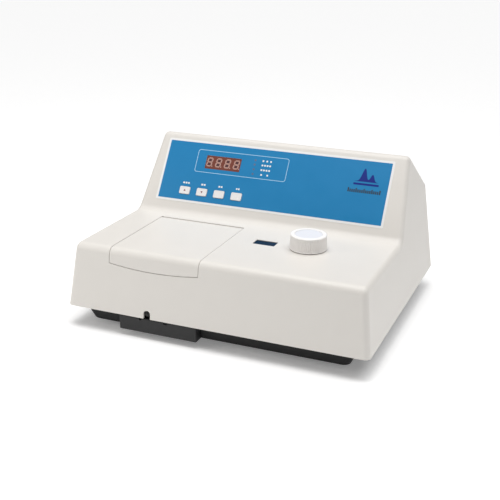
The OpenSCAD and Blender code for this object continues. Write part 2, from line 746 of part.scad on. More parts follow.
module photodiode() color([0.7, 0.68, 0.5]) translate([-132, beam_y, beam_z]) {
    pole_x(4.6, 5);
    translate([-1, 0, 0]) pole_x(5.2, 1);
}

module preamp_board() color([0.1, 0.35, 0.2]) {
    block([-134.6, -133], [60, 88], [6, 42]);
    block([-142, -134.6], [66, 82], [10, 18]);
}

module main_board() color([0.1, 0.35, 0.2]) {
    difference() {
        block(board_x, board_y, [board_z, board_top]);
        for (p = board_screw_at) translate([p[0], p[1], board_z - eps])
            cylinder(r = screw_hole_r, h = board_t + 1);
    }
    for (i = [0:3]) translate([chip_pitch * i, 0, 0])
        block([-120, -106], [196, 214], [board_top, board_z + 5]);
    for (i = [0:2]) translate([can_pitch * i - 90, 262, board_top]) cylinder(r = can_r, h = can_h);
    block([6, 30], [216, 276], [board_top, 4]);
}

module board_standoffs() color([0.75, 0.6, 0.3])
    for (p = board_screw_at) translate([p[0], p[1], tray_floor]) difference() {
        cylinder(r = 3.5, h = board_z - tray_floor);
        translate([0, 0, 3]) cylinder(r = screw_hole_r, h = 8);
    }

module transformer_core() color([0.3, 0.3, 0.32]) difference() {
    block(core_x, core_y, [tray_floor, core_top]);
    for (x = [core_x[0] + core_leg, core_x[1] - core_leg - core_slot])
        block([x, x + core_slot], core_y + [-1, 1], [tray_floor, core_top] + core_yoke * [1, -1]);
}

module transformer_coil() color([0.7, 0.6, 0.2]) difference() {
    block(core_x + core_leg * [1, -1], core_y + 6 * [-1, 1],
        [tray_floor, core_top] + core_yoke * [1, -1]);
    block(core_x + (core_leg + core_slot) * [1, -1], core_y,
        [tray_floor, core_top] + (core_yoke - 1) * [1, -1]);
}

module heatsink() color([0.2, 0.2, 0.21]) {
    block(sink_x, sink_y, [board_top, sink_top]);
    for (i = [0:6]) block(reach(sink_x[0] + fin_pitch * i, 0, fin[0]), reach(sink_y[1], 0, fin[1]),
        [board_top, sink_top]);
}

module rear_panel() color([0.25, 0.25, 0.26]) on_back() difference() {
    translate([-plate_size[0] / 2, plate_low, wall + 0.02])
        cube([plate_size[0], plate_size[1], plate_t]);
    translate(inlet_at) slab(inlet_body, wall - eps, wall + plate_t + eps);
    translate(switch_at) slab(switch_body, wall - eps, wall + plate_t + eps);
    translate([fuse_at[0], fuse_at[1], wall - eps]) cylinder(r = fuse_body_r, h = 4);
    translate(port_at) slab(port_body, wall - eps, wall + plate_t + eps);
    for (p = plate_screw_at) translate([p[0], p[1], wall - eps]) cylinder(r = screw_hole_r, h = 4);
}

module power_inlet() color([0.06, 0.06, 0.06]) on_back() translate(inlet_at) difference() {
    union() {
        slab([50, 23], 0.5, wall);
        slab(inlet_body, 0.5, 24);
    }
    slab([24.6, 16.6], 0, 21);
}

module inlet_blades() color([0.8, 0.75, 0.5]) on_back() translate(inlet_at) {
    for (x = [-7, 7]) translate([x, 2]) slab([2, 4], 9, 21);
    translate([0, -2]) slab([2, 4], 9, 21);
}

rocker_depth = 6;
module switch_frame() color([0.07, 0.07, 0.07]) on_back() translate(switch_at) difference() {
    union() {
        slab([24, 32], 0.5, wall);
        slab(switch_body, wall - eps, 18);
    }
    slab([16.8, 24.4], 0, 16);
}

// Rocker at its off position: side view is [height from the pivot, depth into the wall]
module power_rocker() color([0.6, 0.08, 0.06]) on_back()
    translate([switch_at[0], switch_at[1], rocker_depth])
        rotate([-10, 0, 0]) rotate([90, 0, 90]) translate([0, 0, -8]) linear_extrude(16)
            polygon([[-10, -6.3], [0, -4.6], [10, -6.3], [10, -2], [5, 4], [-5, 4], [-10, -2]]);

module fuse_holder() color([0.06, 0.06, 0.06]) on_back() translate(fuse_at) {
    translate([0, 0, 0.5]) cylinder(r = 8.5, h = wall - 0.5);
    translate([0, 0, wall]) cylinder(r = fuse_body_r, h = 24);
    translate([0, 0, -2.5]) cylinder(r = fuse_body_r, h = 3);
}

module data_port() color([0.7, 0.71, 0.73]) on_back() translate(port_at) difference() {
    union() {
        slab([31, 12.5], 1.8, wall);
        slab(port_body, wall - eps, 14);
        slab(port_body, -2, wall);
    }
    slab([17, 8], -3, 4);
}

rim_frame() base_tray();
rim_frame() rubber_feet();
rim_frame() foot_screws();
rim_frame() cover();
rim_frame() m3_screws();
rim_frame() control_overlay();
rim_frame() display_window();
rim_frame() digit_display();
rim_frame() indicator_leds();
rim_frame() display_board();
rim_frame() key_switches();
rim_frame() key_cap(0);  // key_up
rim_frame() key_cap(1);  // key_down
rim_frame() key_cap(2);  // key_mode
rim_frame() key_cap(3);  // key_print
rim_frame() wavelength_window();
rim_frame() wavelength_knob();
rim_frame() knob_cap();
rim_frame() knob_shaft();
rim_frame() shaft_bushing();
rim_frame() wavelength_dial();
rim_frame() wavelength_cam();
rim_frame() follower_arm();
rim_frame() follower_roller();
rim_frame() grating_table();
rim_frame() grating();
rim_frame() monochromator_housing();
rim_frame() monochromator_cover();
rim_frame() collimating_mirror();
rim_frame() folding_mirror();
rim_frame() entrance_slit();
rim_frame() exit_slit();
rim_frame() condenser_lens();
rim_frame() lamp();
rim_frame() lamp_socket();
rim_frame() lamp_housing();
rim_frame() sample_compartment();
rim_frame() guide_rails();
rim_frame() pull_rod_bushing();
rim_frame() cuvette_carriage();
rim_frame() pull_rod();
rim_frame() pull_rod_knob();
rim_frame() lid();
rim_frame() lid_seal();
rim_frame() lid_hinge_pins();
rim_frame() detector_housing();
rim_frame() photodiode();
rim_frame() preamp_board();
rim_frame() main_board();
rim_frame() board_standoffs();
rim_frame() transformer_core();
rim_frame() transformer_coil();
rim_frame() heatsink();
rim_frame() rear_panel();
rim_frame() power_inlet();
rim_frame() inlet_blades();
rim_frame() switch_frame();
rim_frame() power_rocker();
rim_frame() fuse_holder();
rim_frame() data_port();
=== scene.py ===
import json
from math import asin, atan2, cos, exp, pi, radians, sin, sqrt, tan

import bmesh
import bpy
from mathutils import Matrix, Vector


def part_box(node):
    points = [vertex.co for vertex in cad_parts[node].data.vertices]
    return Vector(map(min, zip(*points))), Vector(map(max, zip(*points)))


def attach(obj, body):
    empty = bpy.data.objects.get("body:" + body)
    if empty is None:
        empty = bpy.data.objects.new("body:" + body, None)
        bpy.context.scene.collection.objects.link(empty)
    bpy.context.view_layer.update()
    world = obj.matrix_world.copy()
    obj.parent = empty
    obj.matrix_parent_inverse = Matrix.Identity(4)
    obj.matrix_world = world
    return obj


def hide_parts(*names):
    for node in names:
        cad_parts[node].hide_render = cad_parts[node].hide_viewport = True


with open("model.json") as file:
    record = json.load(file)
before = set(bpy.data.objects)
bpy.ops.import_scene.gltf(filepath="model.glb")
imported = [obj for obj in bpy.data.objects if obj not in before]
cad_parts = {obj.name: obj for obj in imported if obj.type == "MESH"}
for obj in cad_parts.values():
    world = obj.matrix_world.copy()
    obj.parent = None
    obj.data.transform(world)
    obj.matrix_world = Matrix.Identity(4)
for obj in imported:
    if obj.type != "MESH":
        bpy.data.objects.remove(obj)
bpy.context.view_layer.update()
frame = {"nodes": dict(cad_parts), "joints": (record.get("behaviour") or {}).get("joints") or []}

MM = 0.001
RIM_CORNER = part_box("cover")[0]
ORIGIN = Vector((0, RIM_CORNER.y, RIM_CORNER.z))
TO_ROW = Matrix.Translation(ORIGIN) @ Matrix.Scale(MM, 4)
SLACK = 5.0  # how far a cutting shape passes the face it cuts


def span(node):
    """Lowest and highest corner of a CAD node, in the design frame."""
    return [(corner - ORIGIN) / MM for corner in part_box(node)]


def flat_face(node, toward, spread=0.02):
    """Unit normal and offset of a CAD node's largest flat face that looks about along toward."""
    toward = Vector(toward).normalized()
    faces = [f for f in frame["nodes"][node].data.polygons if f.normal.dot(toward) > 1 - spread]
    face = max(faces, key=lambda f: f.area)
    return face.normal.copy(), face.normal.dot((face.center - ORIGIN) / MM)


def middle_of(node):
    low, high = span(node)
    return (low + high) / 2


def joint(name):
    return next(j for j in frame["joints"] if j["name"] == name)


# ---- the cover's planes and radii
FRONT = flat_face("cover", (0, -1, 0.1))
DECK = flat_face("cover", (0, 0, 1), 0.001)
PANEL = flat_face("cover", -Vector(joint("key_up_press")["axis"]), 0.001)
ROOF = flat_face("cover", (0, 0.5, 0.8), 0.05)
BACK = flat_face("cover", (0, 1, 0.1))
SIDE = flat_face("cover", (1, 0, 0.1))
COVER_WALL = 3.0
SIDE_R = 7.0  # rounding where the sides meet the rest
PROFILE_R = [10.0, 15.0, 8.2, 6.0]  # front edge, crease, ridge, top of the back wall
ARC_STEPS = 8  # faces across each rounding of the cover
SEAM = 0.6  # gap round the lid
LIP_SAG = 4.1  # how far the lip's lower edge hangs down at its middle


def meet(a, b):
    """Where two planes that run along x cross, as a (y, z) vector."""
    (m, d), (n, e) = a, b
    det = m.y * n.z - m.z * n.y
    return Vector(((d * n.z - m.z * e) / det, (m.y * e - d * n.y) / det))


def at_height(plane, z):
    return Vector(((plane[1] - plane[0].z * z) / plane[0].y, z))


DECK_H = DECK[1]
CREASE = meet(DECK, PANEL)


# ---- outlines
def left_of(v):
    return Vector((-v.y, v.x))


def spun(v, angle):
    c, s = cos(angle), sin(angle)
    return Vector((v.x * c - v.y * s, v.x * s + v.y * c))


def corner_arc(a, b, c, radius, steps):
    """(point, normal) pairs where the path a-b-c turns at b. The normal points to its left."""
    before, after = (b - a).normalized(), (c - b).normalized()
    turn = atan2(before.x * after.y - before.y * after.x, before.dot(after))
    trim = radius * tan(abs(turn) / 2)
    inner = radius if turn > 0 else -radius
    centre = b - before * trim + left_of(before) * inner
    normals = [spun(left_of(before), turn * k / steps) for k in range(steps + 1)]
    return [(centre - n * inner, n) for n in normals]


def rounded(points, radii, steps=6):
    """A closed outline with its corners rounded; radii is one number or one for each corner."""
    points = [Vector(p) for p in points]
    radii = [radii] * len(points) if isinstance(radii, (int, float)) else radii
    result = []
    for i, b in enumerate(points):
        if radii[i] == 0:
            result.append(b)
        else:
            arc = corner_arc(points[i - 1], b, points[(i + 1) % len(points)], radii[i], steps)
            result += [p for p, n in arc]
    return result


def rectangle(x, y):
    return [(x[0], y[0]), (x[1], y[0]), (x[1], y[1]), (x[0], y[1])]


def soft_rect(width, height, radius, at=(0, 0), steps=6):
    """A rounded rectangle about a point, counter-clockwise, always with as many points."""
    (a, b), w, h = at, width / 2, height / 2
    return rounded(rectangle((a - w, a + w), (b - h, b + h)), radius, steps)


def circle(radius, at=(0, 0), count=48):
    turns = [2 * pi * i / count for i in range(count)]
    return [Vector((at[0] + radius * cos(t), at[1] + radius * sin(t))) for t in turns]


def inset(points, depth):
    """A counter-clockwise outline with every edge moved inwards."""
    result = []
    for i, p in enumerate(points):
        m = left_of((p - points[i - 1]).normalized())
        n = left_of((points[(i + 1) % len(points)] - p).normalized())
        result.append(p + (m + n) * (depth / (1 + m.dot(n))))
    return result


def cover_profile(low):
    """The cover's side view from front to back over the top, as (point, outward normal)."""
    planes = [FRONT, DECK, PANEL, ROOF, BACK]
    path = [at_height(FRONT, low)]
    path += [meet(a, b) for a, b in zip(planes, planes[1:])]
    path.append(at_height(BACK, low))
    result = [(path[0], left_of((path[1] - path[0]).normalized()))]
    for i, radius in enumerate(PROFILE_R, 1):
        result += corner_arc(path[i - 1], path[i], path[i + 1], radius, ARC_STEPS)
    result.append((path[-1], left_of((path[-1] - path[-2]).normalized())))
    return result


# ---- solids
def placed(name, data):
    """A new object in the scene."""
    obj = bpy.data.objects.new(name, data)
    bpy.context.scene.collection.objects.link(obj)
    return obj


def object_from(bm):
    mesh = bpy.data.meshes.new("part")
    bm.to_mesh(mesh)
    bm.free()
    return placed("part", mesh)


def solid(bm):
    """An object from a bmesh, with its faces looking outwards."""
    bmesh.ops.recalc_face_normals(bm, faces=bm.faces[:])
    return object_from(bm)


def loft(loops):
    """A closed solid through loops that all have the same number of points."""
    bm = bmesh.new()
    rows = [[bm.verts.new(p) for p in loop] for loop in loops]
    for a, b in zip(rows, rows[1:]):
        for i in range(len(a)):
            j = (i + 1) % len(a)
            bm.faces.new((a[i], a[j], b[j], b[i]))
    bm.faces.new(rows[0][::-1])
    bm.faces.new(rows[-1])
    return solid(bm)


def lift(points, z):
    return [Vector((p[0], p[1], z)) for p in points]


def prism(points, low, high):
    return loft([lift(points, low), lift(points, high)])


def soft_prism(points, low, high, radius, steps=4):
    """A prism whose top edge is rounded."""
    turns = [pi / 2 * k / steps for k in range(steps + 1)]
    tops = [lift(inset(points, radius * (1 - cos(t))), high - radius + radius * sin(t))
            for t in turns]
    return loft([lift(points, low)] + tops)


def block(x, y, z):
    return prism(rectangle(x, y), *z)


def turned(profile, count=64):
    """A solid of revolution about z from (radius, height) pairs."""
    return loft([lift(circle(r, count=count), z) for r, z in profile])


def moved(obj, matrix):
    """The object's mesh, carried by a matrix, still facing outwards."""
    obj.data.transform(matrix)
    if matrix.determinant() < 0:
        obj.data.flip_normals()
    return obj


def shifted(obj, x=0, y=0, z=0):
    return moved(obj, Matrix.Translation((x, y, z)))


def axes(a, b, c, origin=(0, 0, 0)):
    """The matrix that takes x, y and z to the directions a, b and c from an origin."""
    matrix = Matrix((a, b, c)).transposed().to_4x4()
    matrix.translation = Vector(origin)
    return matrix


def combined(base, tools, kind):
    """Base after one boolean step with each tool. The tools are used up."""
    for tool in tools:
        step = base.modifiers.new("step", "BOOLEAN")
        step.object = tool
        step.operation = kind
        step.solver = "EXACT"
    bpy.context.view_layer.update()
    result = bpy.data.meshes.new_from_object(
        base.evaluated_get(bpy.context.evaluated_depsgraph_get()))
    base.modifiers.clear()
    old, base.data = base.data, result
    bpy.data.meshes.remove(old)
    for tool in tools:
        bpy.data.meshes.remove(tool.data)
    return base


def cut(base, *tools):
    return combined(base, tools, "DIFFERENCE")


def joined(base, *tools):
    return combined(base, tools, "UNION")


def shared(base, *tools):
    return combined(base, tools, "INTERSECT")


def together(objs):
    """Separate solids as one object."""
    bm = bmesh.new()
    for obj in objs:
        bm.from_mesh(obj.data)
        bpy.data.meshes.remove(obj.data)
    return object_from(bm)


SIDE_VIEW = axes((0, 1, 0), (0, 0, 1), (1, 0, 0))  # outlines in (y, z), thickness along x
FRONT_VIEW = axes((1, 0, 0), (0, 0, 1), (0, 1, 0))  # outlines in (x, z), thickness along y
PANEL_UP = Vector((0, PANEL[0].z, -PANEL[0].y))
ON_PANEL = axes((1, 0, 0), PANEL_UP, PANEL[0], (0, *CREASE))
BACK_UP = Vector((0, -BACK[0].z, BACK[0].y))
ON_BACK = axes((1, 0, 0), BACK_UP, -BACK[0], (0, *at_height(BACK, 0)))


# ---- materials
def srgb(red, green, blue):
    """A linear colour from display values of 0 to 255."""
    values = [v / 255 for v in (red, green, blue)]
    return tuple(v / 12.92 if v <= 0.04045 else ((v + 0.055) / 1.055) ** 2.4 for v in values)


class Nodes:
    """A material's node tree with short calls to add and link nodes."""

    def __init__(self, name):
        self.material = bpy.data.materials.new(name)
        self.material.use_nodes = True
        self.tree = self.material.node_tree
        self.shader = self.tree.nodes["Principled BSDF"]
        self.place = self.add("ShaderNodeTexCoord").outputs["Object"]

    def add(self, kind, **settings):
        node = self.tree.nodes.new(kind)
        for key, value in settings.items():
            setattr(node, key, value)
        return node

    def feed(self, node, socket, value):
        if isinstance(value, bpy.types.NodeSocket):
            self.tree.links.new(value, node.inputs[socket])
        else:
            node.inputs[socket].default_value = value

    def noise(self, size, detail, stretch=None):
        """Noise whose features are about size millimetres across, from 0 to 1."""
        place = self.place
        if stretch:
            mapping = self.add("ShaderNodeMapping")
            self.feed(mapping, "Vector", place)
            mapping.inputs["Scale"].default_value = stretch
            place = mapping.outputs["Vector"]
        node = self.add("ShaderNodeTexNoise")
        self.feed(node, "Vector", place)
        self.feed(node, "Scale", 1 / (size * MM))
        self.feed(node, "Detail", detail)
        return node.outputs["Fac"]

    def ranged(self, value, low, high, start=0.3, end=0.7):
        node = self.add("ShaderNodeMapRange")
        self.feed(node, "Value", value)
        for socket, number in zip(("From Min", "From Max", "To Min", "To Max"),
                                  (start, end, low, high)):
            self.feed(node, socket, number)
        return node.outputs["Result"]

    def mixed(self, share, a, b):
        node = self.add("ShaderNodeMix", data_type="RGBA")
        self.feed(node, 0, share)
        self.feed(node, 6, a if isinstance(a, bpy.types.NodeSocket) else (*a, 1))
        self.feed(node, 7, b if isinstance(b, bpy.types.NodeSocket) else (*b, 1))
        return node.outputs[2]

    def maths(self, operation, a, b):
        node = self.add("ShaderNodeMath", operation=operation, use_clamp=True)
        self.feed(node, 0, a)
        self.feed(node, 1, b)
        return node.outputs[0]

    def edges(self, width):
        """About 1 on sharp edges and 0 on flat faces, over a width in millimetres."""
        bevel = self.add("ShaderNodeBevel", samples=4)
        self.feed(bevel, "Radius", width * MM)
        face = self.add("ShaderNodeNewGeometry")
        dot = self.add("ShaderNodeVectorMath", operation="DOT_PRODUCT")
        self.feed(dot, 0, bevel.outputs["Normal"])
        self.feed(dot, 1, face.outputs["Normal"])
        return self.ranged(dot.outputs["Value"], 1, 0, 0.8, 0.99)


CLOUD = 22.0  # size of the cloudy patches
SPECK = 3.5  # size of the spots where wear shows


def shade(colour, factor):
    return tuple(min(1, c * factor) for c in colour)


def make_look(name, colour, rough, metal=0.0, grain=0.5, bump=0.1, mottle=0.03, coat=0.0,
              wear=0.0, worn=None, edge=0.5, stretch=None, clear=0.0, ior=1.5):
    """A moulded, painted, cast or machined surface with grain, cloudy colour and worn edges."""
    nodes = Nodes(name)
    fine = nodes.noise(grain, 2, stretch)
    broad = nodes.noise(CLOUD, 4)
    marks = nodes.noise(SPECK, 5)
    tint = nodes.mixed(nodes.ranged(broad, 0, 1), shade(colour, 1 - mottle),
                       shade(colour, 1 + mottle))
    tint = nodes.mixed(nodes.ranged(fine, 0, 0.5), tint, shade(colour, 1 - 1.5 * mottle))
    if wear:
        mask = nodes.maths("MULTIPLY", nodes.edges(edge), nodes.ranged(marks, 0, wear, 0.35, 0.65))
        tint = nodes.mixed(mask, tint, worn or shade(colour, 1.6))
    nodes.feed(nodes.shader, "Base Color", tint)
    roughness = nodes.maths("ADD", nodes.ranged(broad, rough - 0.04, rough + 0.03),
                            nodes.ranged(marks, 0, 0.06))
    nodes.feed(nodes.shader, "Roughness", roughness)
    for socket, value in (("Metallic", metal), ("Coat Weight", coat), ("Coat Roughness", 0.08),
                          ("Transmission Weight", clear), ("IOR", ior)):
        nodes.shader.inputs[socket].default_value = value
    if bump:
        relief = nodes.add("ShaderNodeBump")
        nodes.feed(relief, "Strength", bump)
        nodes.feed(relief, "Distance", 0.1 * grain * MM)
        nodes.feed(relief, "Height", fine)
        nodes.feed(nodes.shader, "Normal", relief.outputs["Normal"])
    return nodes.material


def grey(value):
    return value, value, value


CREAM = (0.745, 0.718, 0.678)
STEEL = (0.56, 0.56, 0.57)
LOOKS = {
    "cover_plastic": dict(colour=CREAM, rough=0.42, grain=0.9, mottle=0.008, wear=0.25,
        worn=shade(CREAM, 1.05), edge=0.8),
    "tray_plastic": dict(colour=(0.006, 0.006, 0.0065), rough=0.5, ior=1.35, grain=0.7, bump=0.25,
        mottle=0.15, wear=0.5, worn=grey(0.05)),
    "dark_plastic": dict(colour=(0.021, 0.021, 0.022), rough=0.5, ior=1.4, grain=0.8, bump=0.3,
        mottle=0.12, wear=0.5, worn=grey(0.10)),
    "black_plastic": dict(colour=(0.0045, 0.0045, 0.005), rough=0.36, ior=1.4, grain=0.6,
        bump=0.12, mottle=0.1, wear=0.4, worn=grey(0.05)),
    "rubber": dict(colour=grey(0.014), rough=0.75, bump=0.4, mottle=0.12, wear=0.5,
        worn=(0.06, 0.06, 0.058)),
    "steel": dict(colour=STEEL, rough=0.34, metal=1.0, grain=0.4, bump=0.15, mottle=0.05, wear=0.5,
        worn=(0.75, 0.75, 0.76)),
    "polished_rod": dict(colour=(0.66, 0.66, 0.67), rough=0.16, metal=1.0, grain=0.3, bump=0.08,
        stretch=(8, 1, 8)),
    "brass": dict(colour=(0.62, 0.44, 0.17), rough=0.3, metal=1.0, grain=0.4, mottle=0.06,
        wear=0.5, worn=(0.8, 0.62, 0.3)),
    "overlay_film": dict(colour=srgb(20, 126, 182), rough=0.4, bump=0.12, mottle=0.02, ior=1.42),
    "display_red": dict(colour=srgb(118, 60, 46), rough=0.3, bump=0.03, mottle=0.05, coat=0.3),
    "led_red": dict(colour=srgb(84, 106, 138), rough=0.45, grain=0.4, bump=0.05, mottle=0.1,
        coat=0.1),
    "key_plastic": dict(colour=(0.84, 0.82, 0.82), rough=0.4, grain=0.6, mottle=0.012, wear=0.3,
        worn=grey(0.9)),
    "knob_plastic": dict(colour=(0.95, 0.93, 0.91), rough=0.38, grain=0.7, bump=0.08, mottle=0.01,
        wear=0.3, worn=(0.92, 0.91, 0.9)),
    "dark_glass": dict(colour=(0.004, 0.009, 0.026), rough=0.12, grain=2.0, bump=0.01, mottle=0.3,
        ior=1.28),
    "dial_plate": dict(colour=(0.72, 0.71, 0.66), rough=0.5, mottle=0.02),
    "optic_black": dict(colour=(0.016, 0.016, 0.018), rough=0.62, bump=0.35, mottle=0.12, wear=0.6,
        worn=grey(0.22)),
    "bare_aluminium": dict(colour=(0.68, 0.69, 0.70), rough=0.36, metal=1.0, grain=0.4, bump=0.15,
        mottle=0.04, stretch=(1, 10, 10), wear=0.4, worn=(0.85, 0.85, 0.86)),
    "mirror": dict(colour=(0.92, 0.93, 0.94), rough=0.06, metal=1.0, grain=3.0, bump=0.01,
        mottle=0.01),
    "grating_glass": dict(colour=(0.42, 0.38, 0.60), rough=0.12, metal=0.9, grain=0.3, mottle=0.2,
        stretch=(1, 1, 0.02)),
    "clear_glass": dict(colour=(0.93, 0.97, 0.98), rough=0.05, grain=3.0, bump=0.01, mottle=0.01,
        clear=0.9),
    "ceramic": dict(colour=(0.76, 0.74, 0.68), rough=0.5, bump=0.2),
    "circuit_board": dict(colour=(0.018, 0.11, 0.045), rough=0.35, grain=1.2, bump=0.2, mottle=0.2,
        coat=0.3),
    "component_black": dict(colour=(0.02, 0.02, 0.022), rough=0.42, bump=0.15, mottle=0.1,
        wear=0.4, worn=grey(0.08)),
    "core_steel": dict(colour=(0.20, 0.20, 0.21), rough=0.45, metal=0.8, bump=0.6, mottle=0.1,
        stretch=(0.1, 6, 0.1)),
    "winding": dict(colour=(0.45, 0.33, 0.07), rough=0.4, grain=0.7, bump=0.6, mottle=0.15,
        stretch=(0.1, 0.1, 4)),
    "seal_foam": dict(colour=grey(0.018), rough=0.9, grain=0.9, bump=0.8, mottle=0.2),
    "rocker_red": dict(colour=(0.42, 0.012, 0.010), rough=0.3, grain=0.6, bump=0.06, mottle=0.05,
        coat=0.2),
}
SHADES = {  # other colours that share a slot's finish
    "overlay_white": dict(colour=grey(0.86), rough=0.36, mottle=0.01),
    "overlay_pale": dict(colour=srgb(176, 216, 240), rough=0.36, mottle=0.01),
    "overlay_navy": dict(colour=srgb(16, 38, 128), rough=0.45, ior=1.35),
    "segment_pale": dict(colour=srgb(186, 150, 140), rough=0.3, bump=0.05, mottle=0.02, coat=0.3),
    "segment_dark": dict(colour=srgb(74, 48, 54), rough=0.3, bump=0.05, mottle=0.05, coat=0.3),
    "key_mark": dict(colour=srgb(120, 30, 36), rough=0.4, bump=0.05, mottle=0.05),
    "cap_white": dict(colour=(0.83, 0.83, 0.86), rough=0.3, grain=1.5, bump=0.03, mottle=0.01,
        coat=0.15),
    "print_dark": dict(colour=(0.02, 0.02, 0.025), rough=0.4, mottle=0.1),
    "print_light": dict(colour=(0.75, 0.75, 0.74), rough=0.4),
}
MATERIALS = {name: make_look(name, **look) for name, look in {**LOOKS, **SHADES}.items()}


# ---- finishing
def add_bevel(obj, width, segments, limit):
    if width:
        bevel = obj.modifiers.new("edges", "BEVEL")
        bevel.width = width * MM
        bevel.segments = segments
        bevel.limit_method = "ANGLE"
        bevel.angle_limit = radians(limit)
        bevel.use_clamp_overlap = True
        bevel.miter_outer = "MITER_ARC"
    normals = obj.modifiers.new("normals", "WEIGHTED_NORMAL")
    normals.keep_sharp = True


def piece(obj, name, slot, look=None, body="chassis", bevel=0, segments=2, limit=32,
          replaces=()):
    """Turns a shape drawn in the design frame into a finished piece that rides on a body."""
    obj.name = name
    mesh = obj.data
    mesh.name = name
    mesh.transform(TO_ROW)
    bm = bmesh.new()
    bm.from_mesh(mesh)
    bmesh.ops.remove_doubles(bm, verts=bm.verts[:], dist=0.01 * MM)
    bmesh.ops.dissolve_degenerate(bm, dist=0.01 * MM, edges=bm.edges[:])
    bm.to_mesh(mesh)
    bm.free()
    mesh.materials.clear()
    mesh.materials.append(MATERIALS[look or slot])
    mesh.shade_smooth()
    if not bevel:
        mesh.set_sharp_from_angle(angle=radians(limit))
    add_bevel(obj, bevel, segments, limit)
    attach(obj, body)
    if replaces:
        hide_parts(*replaces)


def dress(node, slot, bevel):
    """Gives a CAD node that keeps its shape its material and softened edges."""
    obj = frame["nodes"][node]
    if not obj.data.materials:
        obj.data.materials.append(None)
    for holder in obj.material_slots:
        holder.material = MATERIALS[slot]
    if bevel:
        weld = obj.modifiers.new("weld", "WELD")
        weld.merge_threshold = 0.01 * MM
        add_bevel(obj, bevel, 2, 40)


# ---- cover and lid
LID_LOW, LID_HIGH = span("lid")
PIN_LOW, PIN_HIGH = span("lid_hinge_pins")
HINGE = middle_of("lid_hinge_pins")
HINGE_R = DECK_H - HINGE.z
PIN_HOLE_R = 2.0
KNOB_LOW, KNOB_HIGH = span("wavelength_knob")
KNOB_AT = middle_of("wavelength_knob").xy
SHAFT_HOLE_R = 6.0
GLASS_LOW, GLASS_HIGH = span("wavelength_window")
GLASS_AT = middle_of("wavelength_window").xy
ROD = middle_of("pull_rod")
KEYHOLE_R = 4.5
SCREW_R = 1.5
BOSS_R = 5.0
BOSS_Z = (2.9, 15.0)
BOSS_X = span("cover")[1].x - 8.0  # they stand this far in from the rim
BOSS_AT = [(x, y) for x in (-BOSS_X, BOSS_X) for y in (40, 160, 285)]
LUG_T = 6.0  # the lugs hold the hinge pins
LUG_D = 10.0
LUG_DROP = 5.5  # from the pins to their lower edge
BAY_W, BAY_H, BAY_V = 194.0, 52.0, 40.0  # rear opening, with the height of its middle
PLATE_SCREWS = [(x, v) for x in (-101, 101) for v in (20, 60)]
VENT_SIZE = (3, 34)
VENTS_AT = [(side * (117 + 8 * i), 39) for side in (-1, 1) for i in range(6)]

# Places on the panel are (x, u), where u is the distance up the panel from the crease.
KEY_NAMES = ["key_up", "key_down", "key_mode", "key_print"]
KEY_W = 15.0
KEY_L = 10.3
KEY_R = 1.7
KEY_GAP = 0.35
KEY_U = 32.4
KEY_AT = [(middle_of(name).x, KEY_U) for name in KEY_NAMES]
WINDOW_AT = (middle_of("display_window").x, 75.3)
WINDOW_SIZE = (50.4, 18.6)
LED_AT = [(middle_of("indicator_leds").x, u) for u in (85.0, 79.0, 72.5, 66.0)]
LED_R = 1.5


def cover_form(shrink, low):
    """The closed outer form of the cover, shrunk all round, reaching down to the height low."""
    normal, offset = SIDE
    rows = []
    bm = bmesh.new()
    for point, up in cover_profile(low):
        middle = point - SIDE_R * up
        x = (offset - normal.z * middle.y - SIDE_R) / normal.x
        crown = Vector((0, *up))
        right = [Vector((x, *middle)) + crown.slerp(normal, k / ARC_STEPS) * (SIDE_R - shrink)
                 for k in range(ARC_STEPS + 1)]
        left = [Vector((-p.x, p.y, p.z)) for p in right[::-1]]
        rows.append([bm.verts.new(p) for p in left + right])
    for a, b in zip(rows, rows[1:]):
        for i in range(len(a) - 1):
            bm.faces.new((a[i], a[i + 1], b[i + 1], b[i]))
    bm.faces.new([row[0] for row in rows])
    bm.faces.new([row[-1] for row in rows][::-1])
    bm.faces.new(rows[0] + rows[-1][::-1])
    return solid(bm)


def cut_below(obj, z):
    """Takes off what is below a height and closes the solid again."""
    bm = bmesh.new()
    bm.from_mesh(obj.data)
    bmesh.ops.bisect_plane(bm, geom=bm.verts[:] + bm.edges[:] + bm.faces[:],
                           plane_co=(0, 0, z), plane_no=(0, 0, 1), clear_inner=True)
    bmesh.ops.holes_fill(bm, edges=[e for e in bm.edges if e.is_boundary])
    bmesh.ops.recalc_face_normals(bm, faces=bm.faces[:])
    bm.to_mesh(obj.data)
    bm.free()
    return obj


def hole(x, y, radius, low, high, count=32):
    return prism(circle(radius, (x, y), count), low, high)


def lid_outline(grow, corner_r):
    """Front view of the lid as (x, z) points, grown all round, with its sagging lower edge."""
    steps = 28
    half = (LID_HIGH.x - LID_LOW.x) / 2
    middle = (LID_HIGH.x + LID_LOW.x) / 2
    radius = (half * half + LIP_SAG * LIP_SAG) / (2 * LIP_SAG)
    centre_z = LID_LOW.z + radius
    reach = half + grow
    xs = [reach * (2 * k / steps - 1) for k in range(steps + 1)]
    lower = [(middle + x, centre_z - sqrt((radius + grow) ** 2 - x * x)) for x in xs]
    top = DECK_H + SLACK
    radii = [corner_r] + [0] * (steps - 1) + [corner_r, 0, 0]
    return rounded(lower + [(middle + reach, top), (middle - reach, top)], radii)


def lid_tool(grow, corner_r, far_y):
    return moved(prism(lid_outline(grow, corner_r), -SLACK, far_y), FRONT_VIEW)


def keyhole():
    """The slot of the pull rod, round at its top and open at the rim."""
    top = [(ROD.x + KEYHOLE_R * cos(t), ROD.z + KEYHOLE_R * sin(t))
           for t in [pi * k / 16 for k in range(17)]]
    points = top + [(ROD.x - KEYHOLE_R, -SLACK), (ROD.x + KEYHOLE_R, -SLACK)]
    return moved(prism(points, -SLACK, 8), FRONT_VIEW)


def glass_outline(gap, radius):
    size = GLASS_HIGH - GLASS_LOW
    return soft_rect(size.x - gap, size.y - gap, radius, GLASS_AT)


